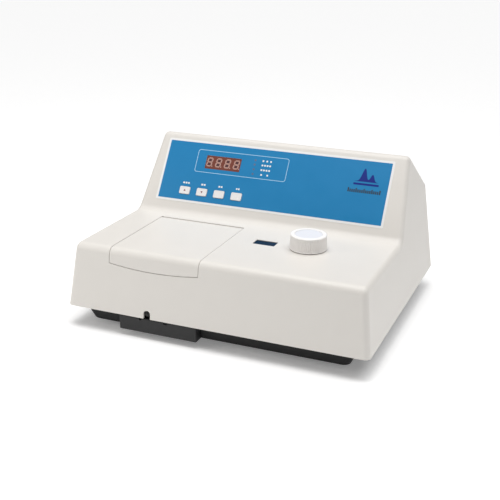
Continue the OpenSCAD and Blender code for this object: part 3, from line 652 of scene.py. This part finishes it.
def panel_openings(depth):
    """What the window, keys and lamps pass through, as tools in the panel's frame."""
    tools = [prism(soft_rect(*WINDOW_SIZE, 0.8, WINDOW_AT), -depth, SLACK)]
    tools += [prism(soft_rect(KEY_W + 2 * KEY_GAP, KEY_L + 2 * KEY_GAP, 1.9, at), -depth, SLACK)
              for at in KEY_AT]
    tools += [hole(*at, LED_R, -depth, SLACK) for at in LED_AT]
    return [moved(tool, ON_PANEL) for tool in tools]


def back_openings():
    """The bay of the connectors, the screws of its plate and the vents on both sides."""
    tools = [prism(soft_rect(BAY_W, BAY_H, 3, (0, BAY_V)), -SLACK, SLACK + 1)]
    tools += [hole(*at, SCREW_R, -SLACK, SLACK) for at in PLATE_SCREWS]
    tools += [prism(soft_rect(*VENT_SIZE, 1.45, at), -SLACK, SLACK) for at in VENTS_AT]
    return [moved(tool, ON_BACK) for tool in tools]


def cover_ribs():
    """Screw bosses and hinge lugs inside the cover, trimmed to its walls."""
    ribs = [shifted(turned([(BOSS_R, z) for z in BOSS_Z], 32), *at) for at in BOSS_AT]
    ribs += [block((x, x + LUG_T), (HINGE.y - LUG_D / 2, HINGE.y + LUG_D / 2),
                   (HINGE.z - LUG_DROP, DECK_H - 1))
             for x in (LID_LOW.x - SEAM - LUG_T, LID_HIGH.x + SEAM)]
    return [shared(rib, cover_form(COVER_WALL / 2, -2 * SLACK)) for rib in ribs]


def make_cover():
    shell = cut_below(cover_form(0, -SLACK), 0)
    shell = cut(shell, cover_form(COVER_WALL, -2 * SLACK))
    shell = joined(shell, *cover_ribs())
    deck = (DECK_H - 2 * COVER_WALL, DECK_H + SLACK)
    pins = prism(circle(PIN_HOLE_R, (HINGE.y, HINGE.z), 24), PIN_LOW.x - 0.5, PIN_HIGH.x + 20)
    tools = [lid_tool(SEAM, 1.8, HINGE.y + HINGE_R + SEAM), keyhole()]
    tools += [hole(*at, SCREW_R, -SLACK, 12) for at in BOSS_AT]
    tools += [moved(pins, SIDE_VIEW), prism(glass_outline(0, 0.7), *deck)]
    tools += [hole(*KNOB_AT, SHAFT_HOLE_R, *deck)]
    tools += panel_openings(2 * COVER_WALL) + back_openings()
    piece(cut(shell, *tools), "cover_shell", "cover_plastic", bevel=0.45, replaces=["cover"])


def make_lid():
    front = cover_profile(LID_LOW.z - SLACK)[:ARC_STEPS + 2]  # the wall and the arc over it
    outer = [p for p, n in front]
    inner = [p - COVER_WALL * n for p, n in front]
    dip = asin((DECK_H - COVER_WALL - HINGE.z) / HINGE_R)
    steps = 22
    turns = [pi / 2 - (1.5 * pi + dip) * k / steps for k in range(steps + 1)]
    barrel = [Vector((HINGE.y + HINGE_R * cos(t), HINGE.z + HINGE_R * sin(t)))
              for t in turns]
    body = moved(prism(outer + barrel + inner[::-1], LID_LOW.x - SLACK, LID_HIGH.x + SLACK),
                 SIDE_VIEW)
    lid = shared(body, moved(prism(lid_outline(0, 1.2), -SLACK, HINGE.y + 2 * SLACK), FRONT_VIEW))
    pins = [moved(prism(circle(PIN_HOLE_R + 0.05, (HINGE.y, HINGE.z), 24), *ends), SIDE_VIEW)
            for ends in ((LID_LOW.x - 1, LID_LOW.x + 10), (LID_HIGH.x - 10, LID_HIGH.x + 1))]
    piece(cut(lid, *pins), "lid_panel", "cover_plastic", body="lid", bevel=0.6, segments=3,
          replaces=["lid"])


# ---- base
TRAY_LOW, TRAY_HIGH = span("base_tray")
COVER_D = span("cover")[1].y
TRAY_WALL = 2.5
TRAY_TOP = 0.4  # the tray's flange starts here
TRAY_CORNER = 8.0
TRAY_SOFT = 1.8  # rounding of the bottom edge
TRAY_W = (330.0, 345.0)  # width at the bottom and at the rim
TRAY_Y = (14.8, 7.6)  # front wall at the bottom and at the rim
TRAY_VENT_SIZE = (4, 46)
TRAY_VENTS = [(66 + 9 * i, 203) for i in range(6)]
WELL_X = (-120.0, -17.0)  # tub of the sample compartment
WELL_Y = (15.0, 133.0)
WELL_GAP = 0.3
EAR_AT = [(-125, 36), (-125, 112), (-40, 138), (-100, 138)]  # its screws
FEET_AT = [(x, y) for x in (-135, 135) for y in (45, 280)]
FOOT_R = 9.95
FOOT_HOLE_R = 1.8
FOOT_PROFILE = [(4, 5), (4, 0.6), (4.6, 0), (8.2, 0), (9.0, 0.5), (9.7, 2), (9.9, 5.2),
                (9.7, 5.5), (9.7, 6.0), (FOOT_R, 6.3)]  # radius and height


def tray_form(shrink, low, high):
    """The tray's slanted tub as a closed form; its walls lean outwards towards the rim."""
    depth = TRAY_TOP - TRAY_LOW.z
    turns = [pi / 2 * k / 5 for k in range(6)]
    heights = [(low + TRAY_SOFT * (1 - cos(t)), TRAY_SOFT * (1 - sin(t))) for t in turns]
    loops = []
    for z, pull in heights + [(high, 0)]:
        share = (z - TRAY_LOW.z) / depth
        width = TRAY_W[0] + (TRAY_W[1] - TRAY_W[0]) * share - 2 * (shrink + pull)
        margin = TRAY_Y[0] + (TRAY_Y[1] - TRAY_Y[0]) * share + shrink + pull
        loops.append(lift(soft_rect(width, COVER_D - 2 * margin, TRAY_CORNER - shrink - pull / 2,
                                    (0, COVER_D / 2)), z))
    return loft(loops)


def make_tray():
    size = TRAY_HIGH - TRAY_LOW
    flange = prism(soft_rect(size.x, size.y, 6, (0, COVER_D / 2)), TRAY_TOP, TRAY_HIGH.z)
    tub = joined(tray_form(0, TRAY_LOW.z, TRAY_TOP + 0.2), flange)
    floor = (TRAY_LOW.z - 1, TRAY_LOW.z + 4)
    tools = [tray_form(TRAY_WALL, TRAY_LOW.z + TRAY_WALL, TRAY_HIGH.z + SLACK),
             block((WELL_X[0] - WELL_GAP, WELL_X[1] + WELL_GAP), (-1, WELL_Y[1] + WELL_GAP),
                   (TRAY_LOW.z - SLACK, SLACK))]
    tools += [hole(*at, SCREW_R, TRAY_TOP - 2, TRAY_HIGH.z + 2) for at in BOSS_AT]
    tools += [hole(*at, SCREW_R, *floor) for at in FEET_AT + EAR_AT]
    tools += [prism(soft_rect(*TRAY_VENT_SIZE, 1.9, at), *floor) for at in TRAY_VENTS]
    piece(cut(tub, *tools), "base_tray_shell", "tray_plastic", bevel=0.4, replaces=["base_tray"])


def make_feet():
    low, high = span("rubber_feet")
    profile = [(r, low.z + h) for r, h in FOOT_PROFILE] + [(FOOT_R, high.z)]
    feet = [shifted(cut(turned(profile), hole(0, 0, FOOT_HOLE_R, low.z - 1, high.z + 1)), *at)
            for at in FEET_AT]
    piece(together(feet), "rubber_feet_soft", "rubber", bevel=0.2, replaces=["rubber_feet"])


# ---- sample compartment
WELL_LOW, WELL_HIGH = span("sample_compartment")
WELL_WALL = 3.0
WELL_FLOOR = -15.0
LEDGE_X = (-139.0, -13.0)  # frame round the top that the lid's seal rests on
LEDGE_Y = (13.3, 134.5)
LEDGE_T = 2.5
EAR_W = 12.0
EAR_Z = (-16.5, -14)
BEAM_SIZE = (6, 14)  # opening for the light through both side walls
BEAM_AT = (74, 26)
ROD_HOLE_R = 5.5
NOTCHES_X = ((-92.5, -89.5), (-60, -55))  # in the top edge of the front foot
GRIP_PROFILE = [(0.4, 0), (1.8, 0.12), (2.9, 0.6), (3.6, 1.4), (3.9, 2.4), (3.95, 4.4),
                (3.5, 4.9), (3.5, 5.5), (3.95, 6.0)]  # radius and place along the rod


def make_compartment():
    top, bottom = WELL_HIGH.z, WELL_LOW.z
    middle = (sum(WELL_X) / 2, sum(WELL_Y) / 2)
    width, depth = WELL_X[1] - WELL_X[0], WELL_Y[1] - WELL_Y[0]
    tub = soft_prism(soft_rect(width, depth, 4, middle), bottom, top, 0.4)
    foot_y = (WELL_LOW.y, WELL_Y[0] + 6)
    foot = soft_rect(width, foot_y[1] - foot_y[0], 1.6, (middle[0], sum(foot_y) / 2))
    pulls = ((0.9, bottom), (0.35, bottom + 0.4), (0.15, bottom + 1.2), (0, -2.2), (0.4, -0.9))
    foot = loft([lift(inset(foot, pull), z) for pull, z in pulls])
    ledge = prism(soft_rect(LEDGE_X[1] - LEDGE_X[0], LEDGE_Y[1] - LEDGE_Y[0], 3,
                            (sum(LEDGE_X) / 2, sum(LEDGE_Y) / 2)), top - LEDGE_T, top - 0.2)
    ears = [prism(soft_rect(EAR_W, EAR_W, 3, at), *EAR_Z) for at in EAR_AT]
    tub = joined(tub, foot, ledge, *ears)
    inside = soft_rect(width - 2 * WELL_WALL, depth - 2 * WELL_WALL, 5, middle)
    cavity = loft([lift(inset(inside, 2), WELL_FLOOR), lift(inset(inside, 0.6), WELL_FLOOR + 0.6),
                   lift(inside, WELL_FLOOR + 2), lift(inside, top + SLACK)])
    beam = prism(soft_rect(*BEAM_SIZE, 1, BEAM_AT), WELL_LOW.x - 1, WELL_X[1] + 1)
    rod = prism(circle(ROD_HOLE_R, (ROD.x, ROD.z)), WELL_Y[0] - 1, WELL_Y[0] + 3.5)
    tools = [cavity, moved(beam, SIDE_VIEW), moved(rod, FRONT_VIEW)]
    tools += [block(x, (-1, foot_y[0] + 2.2), (-3.2, 0)) for x in NOTCHES_X]
    tools += [hole(*at, SCREW_R, -17, -12) for at in EAR_AT]
    piece(cut(tub, *tools), "compartment_moulding", "dark_plastic", bevel=0.35,
          replaces=["sample_compartment"])


def make_rod_knob():
    low, high = span("pull_rod_knob")
    length = high.y - low.y
    profile = GRIP_PROFILE + [(3.95, length - 0.4), (3.6, length), (3.02, length), (3.02, 5.8)]
    along = axes((1, 0, 0), (0, 0, 1), (0, 1, 0), (ROD.x, low.y, ROD.z))
    piece(moved(turned(profile, 40), along), "changer_pull_knob", "black_plastic",
          body="sample_changer", replaces=["pull_rod_knob"])


# ---- control panel
FILM = (0.30, 0.40, 0.46)  # tops of the white film, the blue ink and the marks
OVERLAY_X = [corner.x for corner in span("control_overlay")]
OVERLAY_U = (16.2, 103.8)
BORDER = 3.0  # white edge round the blue
READOUT_SIZE = (130, 31.8)  # outline round the display and the lamps
READOUT_AT = (-48, 76)
READOUT_R = 3.2
READOUT_LINE = 0.7
LABEL_H = 2.3
LED_LABELS = [([2.2] * 3, 3.2), ([2.4] * 4, 1.2), ([2.4] * 4, 1.2), ([2.2] * 2, 6.4)]
KEY_LABELS = [[2.6] * 3, [2.6] * 2, [2.4] * 2, [2.0] * 2]  # widths of the marks
EMBLEM_X = 123.5
PEAKS = ((0.36, 0.13, 1.0), (0.72, 0.11, 0.58))  # place, spread and height as shares
TICKS = 17
TICK_AT = (102.2, 61.0)  # the first tick
TICK_PITCH = 2.55
TICK_LONG = 5.6  # every fourth tick
TICK_SHORT = 4.0
DIGIT_AT = [(-93.6 + 12.9 * i, 75.6) for i in range(4)]
DIGIT_W = 6.4
DIGIT_H = 11.2
DIGIT_LINE = 1.65
SLANT = 0.12  # how far a digit leans for each unit of height
FACE = 0.22  # the window's front face above the panel


def flat_piece(outlines, low, high, name, look, slot="overlay_film"):
    """Thin printed shapes on the panel, one prism for each outline."""
    parts = [moved(prism(points, low, high), ON_PANEL) for points in outlines]
    piece(together(parts), name, slot, look)


def bar(x, u, width, height, radius=0.35):
    return soft_rect(width, height, radius, (x, u), 3)


def label_row(x, u, widths, gap):
    """A row of plain marks that stands for a printed label, centred on x."""
    left = x - (sum(widths) + gap * (len(widths) - 1)) / 2
    outlines = []
    for width in widths:
        outlines.append(bar(left + width / 2, u, width, LABEL_H))
        left += width + gap
    return outlines


def peak_outline(x, u, width, height):
    """The area under a spectrum with two absorption peaks."""
    steps = 48
    upper = []
    for k in range(steps + 1):
        s = k / steps
        rise = sum(tall * exp(-((s - at) / spread) ** 2) for at, spread, tall in PEAKS)
        upper.append((x + width * (s - 0.5), u + height * (0.02 + 0.98 * rise)))
    return [Vector(p) for p in [(x - width / 2, u), (x + width / 2, u)] + upper[::-1]]


def tick_outlines():
    """A row of ruler ticks that hang from one line."""
    ticks = []
    for i in range(TICKS):
        height = TICK_SHORT if i % 4 else TICK_LONG
        u = TICK_AT[1] - (TICK_LONG - height) / 2
        ticks.append(bar(TICK_AT[0] + TICK_PITCH * i, u, 1.6, height, 0.3))
    return ticks


def make_overlay():
    width, height = OVERLAY_X[1] - OVERLAY_X[0], OVERLAY_U[1] - OVERLAY_U[0]
    at = (sum(OVERLAY_X) / 2, sum(OVERLAY_U) / 2)
    film = moved(prism(soft_rect(width, height, 1.8, at), 0, FILM[0]), ON_PANEL)
    piece(cut(film, *panel_openings(1)), "overlay_film_white", "overlay_film",
          "overlay_white", bevel=0.1, segments=1, replaces=["control_overlay"])
    ink = prism(soft_rect(width - 2 * BORDER, height - 2 * BORDER, 0.8, at), FILM[0], FILM[1])
    ink = cut(moved(ink, ON_PANEL), *panel_openings(1))
    piece(ink, "overlay_film_blue", "overlay_film")
    line = prism(soft_rect(*READOUT_SIZE, READOUT_R, READOUT_AT), FILM[1], FILM[2])
    size = [side - 2 * READOUT_LINE for side in READOUT_SIZE]
    line = cut(line, prism(soft_rect(*size, READOUT_R - READOUT_LINE, READOUT_AT), 0, 1))
    piece(moved(line, ON_PANEL), "overlay_outline", "overlay_film", "overlay_pale")


def make_prints():
    """The labels, the emblem and the row of ticks on the overlay."""
    rows = []
    for (x, u), (widths, gap) in zip(LED_AT, LED_LABELS):
        rows += label_row(x + 16.5, u, widths, gap)
    for (x, u), widths in zip(KEY_AT, KEY_LABELS):
        rows += label_row(x, u + 10.6, widths, 0.9)
    flat_piece(rows, FILM[1], FILM[2], "overlay_labels", "overlay_white")
    emblem = [peak_outline(EMBLEM_X, 73.0, 30, 17.5), bar(EMBLEM_X, 69.6, 33, 2.6, 1.0)]
    flat_piece(emblem, FILM[1], FILM[2], "overlay_emblem", "overlay_navy")
    flat_piece(tick_outlines(), FILM[1], FILM[2], "overlay_scale", "print_dark")


SEGMENTS = [  # the bars of a digit: share of its width, share of its height, upright or not
    (0.5, 1.0, False), (0.5, 0.5, False), (0.5, 0.0, False),
    (0.0, 0.75, True), (1.0, 0.75, True), (0.0, 0.25, True), (1.0, 0.25, True),
]


def digit(x, u):
    """Seven six-sided bars that lean to the right, and a round point."""
    outlines = []
    for across, up, upright in SEGMENTS:
        h, w = ((DIGIT_H / 2 if upright else DIGIT_W) - 0.35) / 2, DIGIT_LINE / 2
        points = [(-h, 0), (-h + w, -w), (h - w, -w), (h, 0), (h - w, w), (-h + w, w)]
        if upright:
            points = [(-b, a) for a, b in points]
        side, rise = DIGIT_W * (across - 0.5), DIGIT_H * (up - 0.5)
        outlines.append([Vector((x + side + a + SLANT * (rise + b), u + rise + b))
                         for a, b in points])
    point_at = (x + DIGIT_W / 2 + 1.7 - SLANT * DIGIT_H / 2, u - DIGIT_H / 2)
    return outlines + [circle(DIGIT_LINE * 0.55, point_at, 12)]


def counters(x, u):
    """The dark fields inside a digit's two loops."""
    return [soft_rect(0.5 * DIGIT_W, 0.26 * DIGIT_H, 0.6, (x + SLANT * rise, u + rise))
            for rise in (-0.25 * DIGIT_H, 0.25 * DIGIT_H)]


def make_display():
    window = soft_prism(soft_rect(WINDOW_SIZE[0] - 0.2, WINDOW_SIZE[1] - 0.2, 0.7, WINDOW_AT),
                        -COVER_WALL, FACE, 0.15, 2)
    piece(moved(window, ON_PANEL), "display_filter", "display_red", replaces=["display_window"])
    bars = [outline for at in DIGIT_AT for outline in digit(*at)]
    flat_piece(bars, FACE, FACE + 0.05, "display_segments", "segment_pale", "display_red")
    fields = [outline for at in DIGIT_AT for outline in counters(*at)]
    flat_piece(fields, FACE, FACE + 0.03, "display_digit_fields", "segment_dark", "display_red")


def make_key(index):
    """A key cap with a dished top on its flange and stem; the first two carry an arrow."""
    flange, stem, rise, soft = 2.4, 4, 0.75, 0.55
    wide = (KEY_W + flange, KEY_L + flange, 1.5)
    levels = [((stem, stem, 0.6), -7.6), ((stem, stem, 0.6), -4.9), (wide, -4.9), (wide, -3.4),
              ((KEY_W, KEY_L, KEY_R), -3.4), ((KEY_W, KEY_L, KEY_R), rise)]
    for t in [pi / 6 * k for k in range(1, 4)]:
        pull = soft * (1 - cos(t))
        levels.append(((KEY_W - 2 * pull, KEY_L - 2 * pull, KEY_R - pull), rise + soft * sin(t)))
    levels += [((KEY_W - 3, KEY_L - 3, 1.2), 1.22), ((KEY_W - 7, KEY_L - 6, 0.8), 1.12)]
    key = loft([lift(soft_rect(*size, steps=5), z) for size, z in levels])
    name = KEY_NAMES[index]
    at = ON_PANEL @ Matrix.Translation((*KEY_AT[index], 0))
    piece(moved(key, at), name + "_cap", "key_plastic", body=name, replaces=[name])
    if index < 2:
        way = 1 if index == 0 else -1
        arrow = [Vector((-1.5, -1.1 * way)), Vector((1.5, -1.1 * way)), Vector((0, 1.5 * way))]
        mark = moved(prism(arrow[::way], 1.10, 1.20), at)
        piece(mark, name + "_arrow", "key_plastic", "key_mark", body=name)


# ---- wavelength knob and window
RIBS = 66
GROOVE = 0.9  # depth between the ribs
KNOB_LEAN = 0.9  # how much narrower the knob is at its top
KNOB_SOFT = 1.4
RECESS_R = 17.0  # for the disc on top


def ribbed_loop(radius, z, depth):
    """A ring with rounded ribs and narrow grooves round it."""
    count = RIBS * 8
    loop = []
    for angle in [2 * pi * i / count for i in range(count)]:
        share = (0.72 - abs(sin(RIBS * angle / 2))) / 0.5
        r = radius - depth * min(1, max(0, share))
        loop.append(Vector((r * cos(angle), r * sin(angle), z)))
    return loop


def make_knob():
    wide = (KNOB_HIGH.x - KNOB_LOW.x) / 2
    tall = KNOB_HIGH.z - KNOB_LOW.z
    top = wide - KNOB_LEAN
    levels = [(3.0, 13.0, 0), (3.0, 0, 0), (top, 0, 0), (wide - 0.15, 0.2, 0), (wide, 0.4, 0),
              (wide, 0.8, 0), (wide - 0.1, 1.0, 0.5), (wide - 0.15, 1.3, GROOVE)]
    levels += [(wide - 0.2 - 0.14 * k, 1.3 + 2.9 * k, GROOVE) for k in range(1, 5)]
    levels += [(top, tall - 2.2, GROOVE), (top, tall - 1.7, GROOVE / 2), (top, tall - 1.4, 0)]
    levels += [(top - KNOB_SOFT * (1 - cos(t)), tall - KNOB_SOFT * (1 - sin(t)), 0)
               for t in [pi / 2 * k / 5 for k in range(1, 6)]]
    levels += [(RECESS_R, tall, 0), (RECESS_R - 0.2, tall - 0.15, 0),
               (RECESS_R - 0.3, tall - 1.2, 0)]
    knob = loft([ribbed_loop(*level) for level in levels])
    piece(shifted(knob, *KNOB_AT, KNOB_LOW.z), "wavelength_knob_ribbed", "knob_plastic",
          body="wavelength_drive", replaces=["wavelength_knob"])


def make_knob_disc():
    low, high = span("knob_cap")
    radius = (high.x - low.x) / 2
    thick = high.z - low.z
    profile = [(radius, 0), (radius, thick - 0.45), (radius - 0.12, thick - 0.2),
               (radius - 0.4, thick - 0.08), (radius - 1.2, thick - 0.03), (6, thick), (1, thick)]
    piece(shifted(turned(profile, 96), *KNOB_AT, low.z), "knob_disc", "knob_plastic", "cap_white",
          body="wavelength_drive", limit=50, replaces=["knob_cap"])


def make_glass():
    glass = soft_prism(glass_outline(0.1, 0.65), GLASS_LOW.z, GLASS_HIGH.z, 0.25, 2)
    piece(glass, "dial_glass", "dark_glass", replaces=["wavelength_window"])


# ---- connectors on the back
INLET_W, INLET_H = 50, 23  # its flange
INLET_BODY = (28, 20)
INLET_MOUTH = (24.6, 16.6, 4)  # width, height and cut-off corners
INLET_SCREWS_X = (-20, 20)
PORT_PLATE = (31, 12.5)
PORT_SHELL = (19, 10, 0.9, 2)  # width, height, taper on each side and corner radius
PORT_INSIDE = (17.8, 8.8, 0.8, 1.6)
PORT_CORE = (15.6, 6.8, 0.7, 1.4)
PORT_NUTS_X = (-12.5, 12.5)
PIN_PITCH = 2.77  # contacts of the data port, in rows of five and four
PIN_ROWS = ((5, 1.42), (4, -1.42))
FUSE_PROFILE = [(0.5, -2.5), (5.5, -2.5), (6.1, -2.25), (6.4, -1.8), (6.4, 0.5), (8.0, 0.5),
                (8.5, 0.95), (8.5, 3), (6.5, 3), (6.5, 27), (0.5, 27)]
ROCKER_LEAN = 10.0  # how far the rocker leans at rest, in degrees
ROCKER_PIVOT = 6.0  # depth of its pivot in the wall
ROCKER_FACE = 5.46  # from the pivot out to the marks
ROCKER_SLOPE = atan2(1.7, 10)  # of its two halves


def rear_spot(node):
    """The frame at a rear connector: x across, y up the wall and z into it."""
    return ON_BACK @ Matrix.Translation((middle_of(node).x, BAY_V, 0))


def chamfered(width, height, cut_off):
    """A socket's outline with its two lower corners cut off."""
    w, h = width / 2, height / 2
    points = [(-w + cut_off, -h), (w - cut_off, -h), (w, -h + cut_off), (w, h), (-w, h),
              (-w, -h + cut_off)]
    return rounded(points, 0.8, 3)


def make_inlet():
    at = rear_spot("power_inlet")
    flange = loft([lift(soft_rect(INLET_W - 2 * pull, INLET_H - 2 * pull, 3 - pull / 2), z)
                   for pull, z in ((0.9, 0.55), (0.3, 0.8), (0, 1.3), (0, 3))])
    inlet = joined(flange, prism(soft_rect(*INLET_BODY, 0.8), 2, 24))
    inlet = cut(inlet, prism(chamfered(*INLET_MOUTH), -1, 21),
                *[hole(x, 0, 1.7, -1, 1.4) for x in INLET_SCREWS_X])
    piece(moved(inlet, at), "inlet_body", "black_plastic", bevel=0.2, replaces=["power_inlet"])
    heads = []
    for x in INLET_SCREWS_X:
        head = turned([(0.3, 0.6), (1.0, 0.62), (1.55, 0.9), (1.6, 1.4)], 24)
        heads.append(shifted(cut(head, block((-1.2, 1.2), (-0.25, 0.25), (0.3, 0.9))), x))
    piece(moved(together(heads), at), "inlet_screws", "steel")


def make_fuse_cap():
    holder = cut(turned(FUSE_PROFILE, 48), block((-4.5, 4.5), (-0.7, 0.7), (-3, -1.4)))
    piece(moved(holder, rear_spot("fuse_holder")), "fuse_cap_slotted", "black_plastic",
          bevel=0.15, replaces=["fuse_holder"])


def port_outline(width, height, narrow, radius):
    w, h = width / 2, height / 2
    return rounded([(-w + narrow, -h), (w - narrow, -h), (w, h), (-w, h)], radius, 5)


def make_port():
    at = rear_spot("data_port")
    shell = joined(prism(soft_rect(*PORT_PLATE, 2), 1.8, 3),
                   prism(port_outline(*PORT_SHELL), -2, 14))
    shell = cut(shell, prism(port_outline(*PORT_INSIDE), -3, 4))
    piece(moved(shell, at), "port_shell", "steel", bevel=0.15, replaces=["data_port"])
    contacts = [hole(PIN_PITCH * (i - (n - 1) / 2), v, 0.55, -1, 1, 12)
                for n, v in PIN_ROWS for i in range(n)]
    core = cut(prism(port_outline(*PORT_CORE), -0.6, 4), *contacts)
    piece(moved(core, at), "port_contacts", "component_black")
    nuts = [cut(hole(x, 0, 2.6, -1.6, 1.85, 6), hole(x, 0, 1.2, -2, 1, 16)) for x in PORT_NUTS_X]
    piece(moved(together(nuts), at), "port_standoffs", "steel", bevel=0.1)


def make_rocker_marks():
    """The bar and the ring on the two halves of the power rocker."""
    at = rear_spot("power_rocker") @ Matrix.Translation((0, 0, ROCKER_PIVOT))
    at = at @ Matrix.Rotation(radians(-ROCKER_LEAN), 4, "X")
    ring = cut(prism(circle(2.2, count=32), -0.1, 0.1), prism(circle(1.5, count=32), -1, 1))
    marks = []
    line = prism(soft_rect(0.8, 4.6, 0.2), -0.1, 0.1)
    for mark, v, turn in ((line, 5, -ROCKER_SLOPE), (ring, -5, ROCKER_SLOPE)):
        place = Matrix.Translation((0, v, -ROCKER_FACE)) @ Matrix.Rotation(turn, 4, "X")
        marks.append(moved(mark, at @ place))
    piece(together(marks), "rocker_marks", "rocker_red", "print_light", body="rocker")


# ---- CAD nodes that keep their shape
KEPT = {  # look and slot: {node: width of its softened edges}
    "steel": {"foot_screws": 0.12, "m3_screws": 0.12, "entrance_slit": 0.1, "exit_slit": 0.1},
    "polished_rod": {"knob_shaft": 0.2, "guide_rails": 0.15, "pull_rod": 0.15,
        "lid_hinge_pins": 0.2},
    "brass": {"shaft_bushing": 0.2, "wavelength_cam": 0.2, "follower_roller": 0.2,
        "pull_rod_bushing": 0.2, "photodiode": 0.15, "board_standoffs": 0.2,
        "inlet_blades": 0.25},
    "optic_black": {"grating_table": 0.3, "monochromator_housing": 0.5,
        "monochromator_cover": 0.4, "cuvette_carriage": 0.35,
        "detector_housing": 0.4, "heatsink": 0.15},
    "circuit_board": {"display_board": 0.1, "preamp_board": 0.1, "main_board": 0.1},
    "mirror": {"collimating_mirror": 0.2, "folding_mirror": 0.2},
    "clear_glass": {"condenser_lens": 0.2, "lamp": 0},
    "bare_aluminium": {"follower_arm": 0.2, "lamp_housing": 0.3},
    "display_red": {"digit_display": 0.3},
    "led_red": {"indicator_leds": 0.2},
    "component_black": {"key_switches": 0.2},
    "dial_plate": {"wavelength_dial": 0.2},
    "grating_glass": {"grating": 0.2},
    "ceramic": {"lamp_socket": 0.4},
    "seal_foam": {"lid_seal": 0.5},
    "core_steel": {"transformer_core": 0.3},
    "winding": {"transformer_coil": 0.6},
    "dark_plastic": {"rear_panel": 0.3},
    "black_plastic": {"switch_frame": 0.4},
    "rocker_red": {"power_rocker": 0.4},
}


# ---- stage, lights and camera
CAMERA_AT = (407.18, -870.61, 449.65)  # in the design frame
AZIMUTH = 22.283
ELEVATION = 19.979
ROLL = 0.659
LENS = 65.49
FLOOR_REACH = 14.0  # from here on in metres
FLOOR_GLOW = 0.2
SKY = 0.17
SUN = 2.08
SUN_SPREAD = 64
SUN_FROM = (0.13, 0.14, 1)
SOFTBOXES = {
    "key": dict(at=(-0.75, -0.65, 0.55), toward=(-0.1, 0, 0.1), size=(0.5, 0.5), power=2.0,
                colour=(1, 0.97, 0.93)),
    "top": dict(at=(0.02, -0.2, 1.05), toward=(0.0, 0.04, 0.14), size=(0.6, 0.4), power=3.2,
                colour=(1, 0.985, 0.97)),
}


def make_camera():
    az, el, roll = (radians(a) for a in (AZIMUTH, ELEVATION, ROLL))
    back = Vector((sin(az) * cos(el), -cos(az) * cos(el), sin(el)))
    right = Vector((cos(az), sin(az), 0))
    up = back.cross(right)
    right, up = (right * cos(roll) + up * sin(roll), up * cos(roll) - right * sin(roll))
    camera = placed("camera", bpy.data.cameras.new("camera"))
    camera.data.lens = LENS
    camera.data.clip_end = 100
    camera.matrix_world = axes(right, up, back, TO_ROW @ Vector(CAMERA_AT))
    bpy.context.scene.camera = camera


def make_floor():
    """A large square of small ones, pale and faintly glowing."""
    bm = bmesh.new()
    steps = 8
    marks = [FLOOR_REACH * (2 * i / steps - 1) for i in range(steps + 1)]
    rows = [[bm.verts.new((x, y, 0)) for y in marks] for x in marks]
    for a, b in zip(rows, rows[1:]):
        for j in range(steps):
            bm.faces.new((a[j], b[j], b[j + 1], a[j + 1]))
    floor = solid(bm)
    floor.name = "floor"
    look = make_look("floor", (0.985, 0.985, 0.985), 0.6, grain=4, bump=0.02, mottle=0.004)
    shader = look.node_tree.nodes["Principled BSDF"]
    shader.inputs["Emission Color"].default_value = (1, 1, 1, 1)
    shader.inputs["Emission Strength"].default_value = FLOOR_GLOW
    floor.data.materials.append(look)


def add_softbox(name, at, toward, size, power, colour):
    data = bpy.data.lights.new(name, "AREA")
    data.shape = "RECTANGLE"
    data.size, data.size_y = size
    data.energy = power
    data.color = colour
    lamp = placed(name, data)
    lamp.location = at
    lamp.rotation_euler = (Vector(toward) - Vector(at)).to_track_quat("-Z", "Y").to_euler()


def make_light():
    world = bpy.data.worlds.new("studio")
    bpy.context.scene.world = world
    world.use_nodes = True
    sky = world.node_tree.nodes["Background"]
    sky.inputs["Color"].default_value = (1.0, 1.0, 1.0, 1)
    sky.inputs["Strength"].default_value = SKY
    sun = placed("sun", bpy.data.lights.new("sun", "SUN"))
    sun.data.energy = SUN
    sun.data.angle = radians(SUN_SPREAD)
    sun.rotation_euler = Vector(SUN_FROM).to_track_quat("Z", "Y").to_euler()
    for name, settings in SOFTBOXES.items():
        add_softbox(name, **settings)
    bpy.context.scene.view_settings.view_transform = "Standard"


make_camera()
make_floor()
make_light()
make_cover()
make_lid()
make_tray()
make_feet()
make_compartment()
make_rod_knob()
make_overlay()
make_prints()
make_display()
for number in range(len(KEY_NAMES)):
    make_key(number)
make_knob()
make_knob_disc()
make_glass()
make_inlet()
make_fuse_cap()
make_port()
make_rocker_marks()
for look, nodes in KEPT.items():
    for node, bevel in nodes.items():
        dress(node, look, bevel)

bpy.context.view_layer.update()
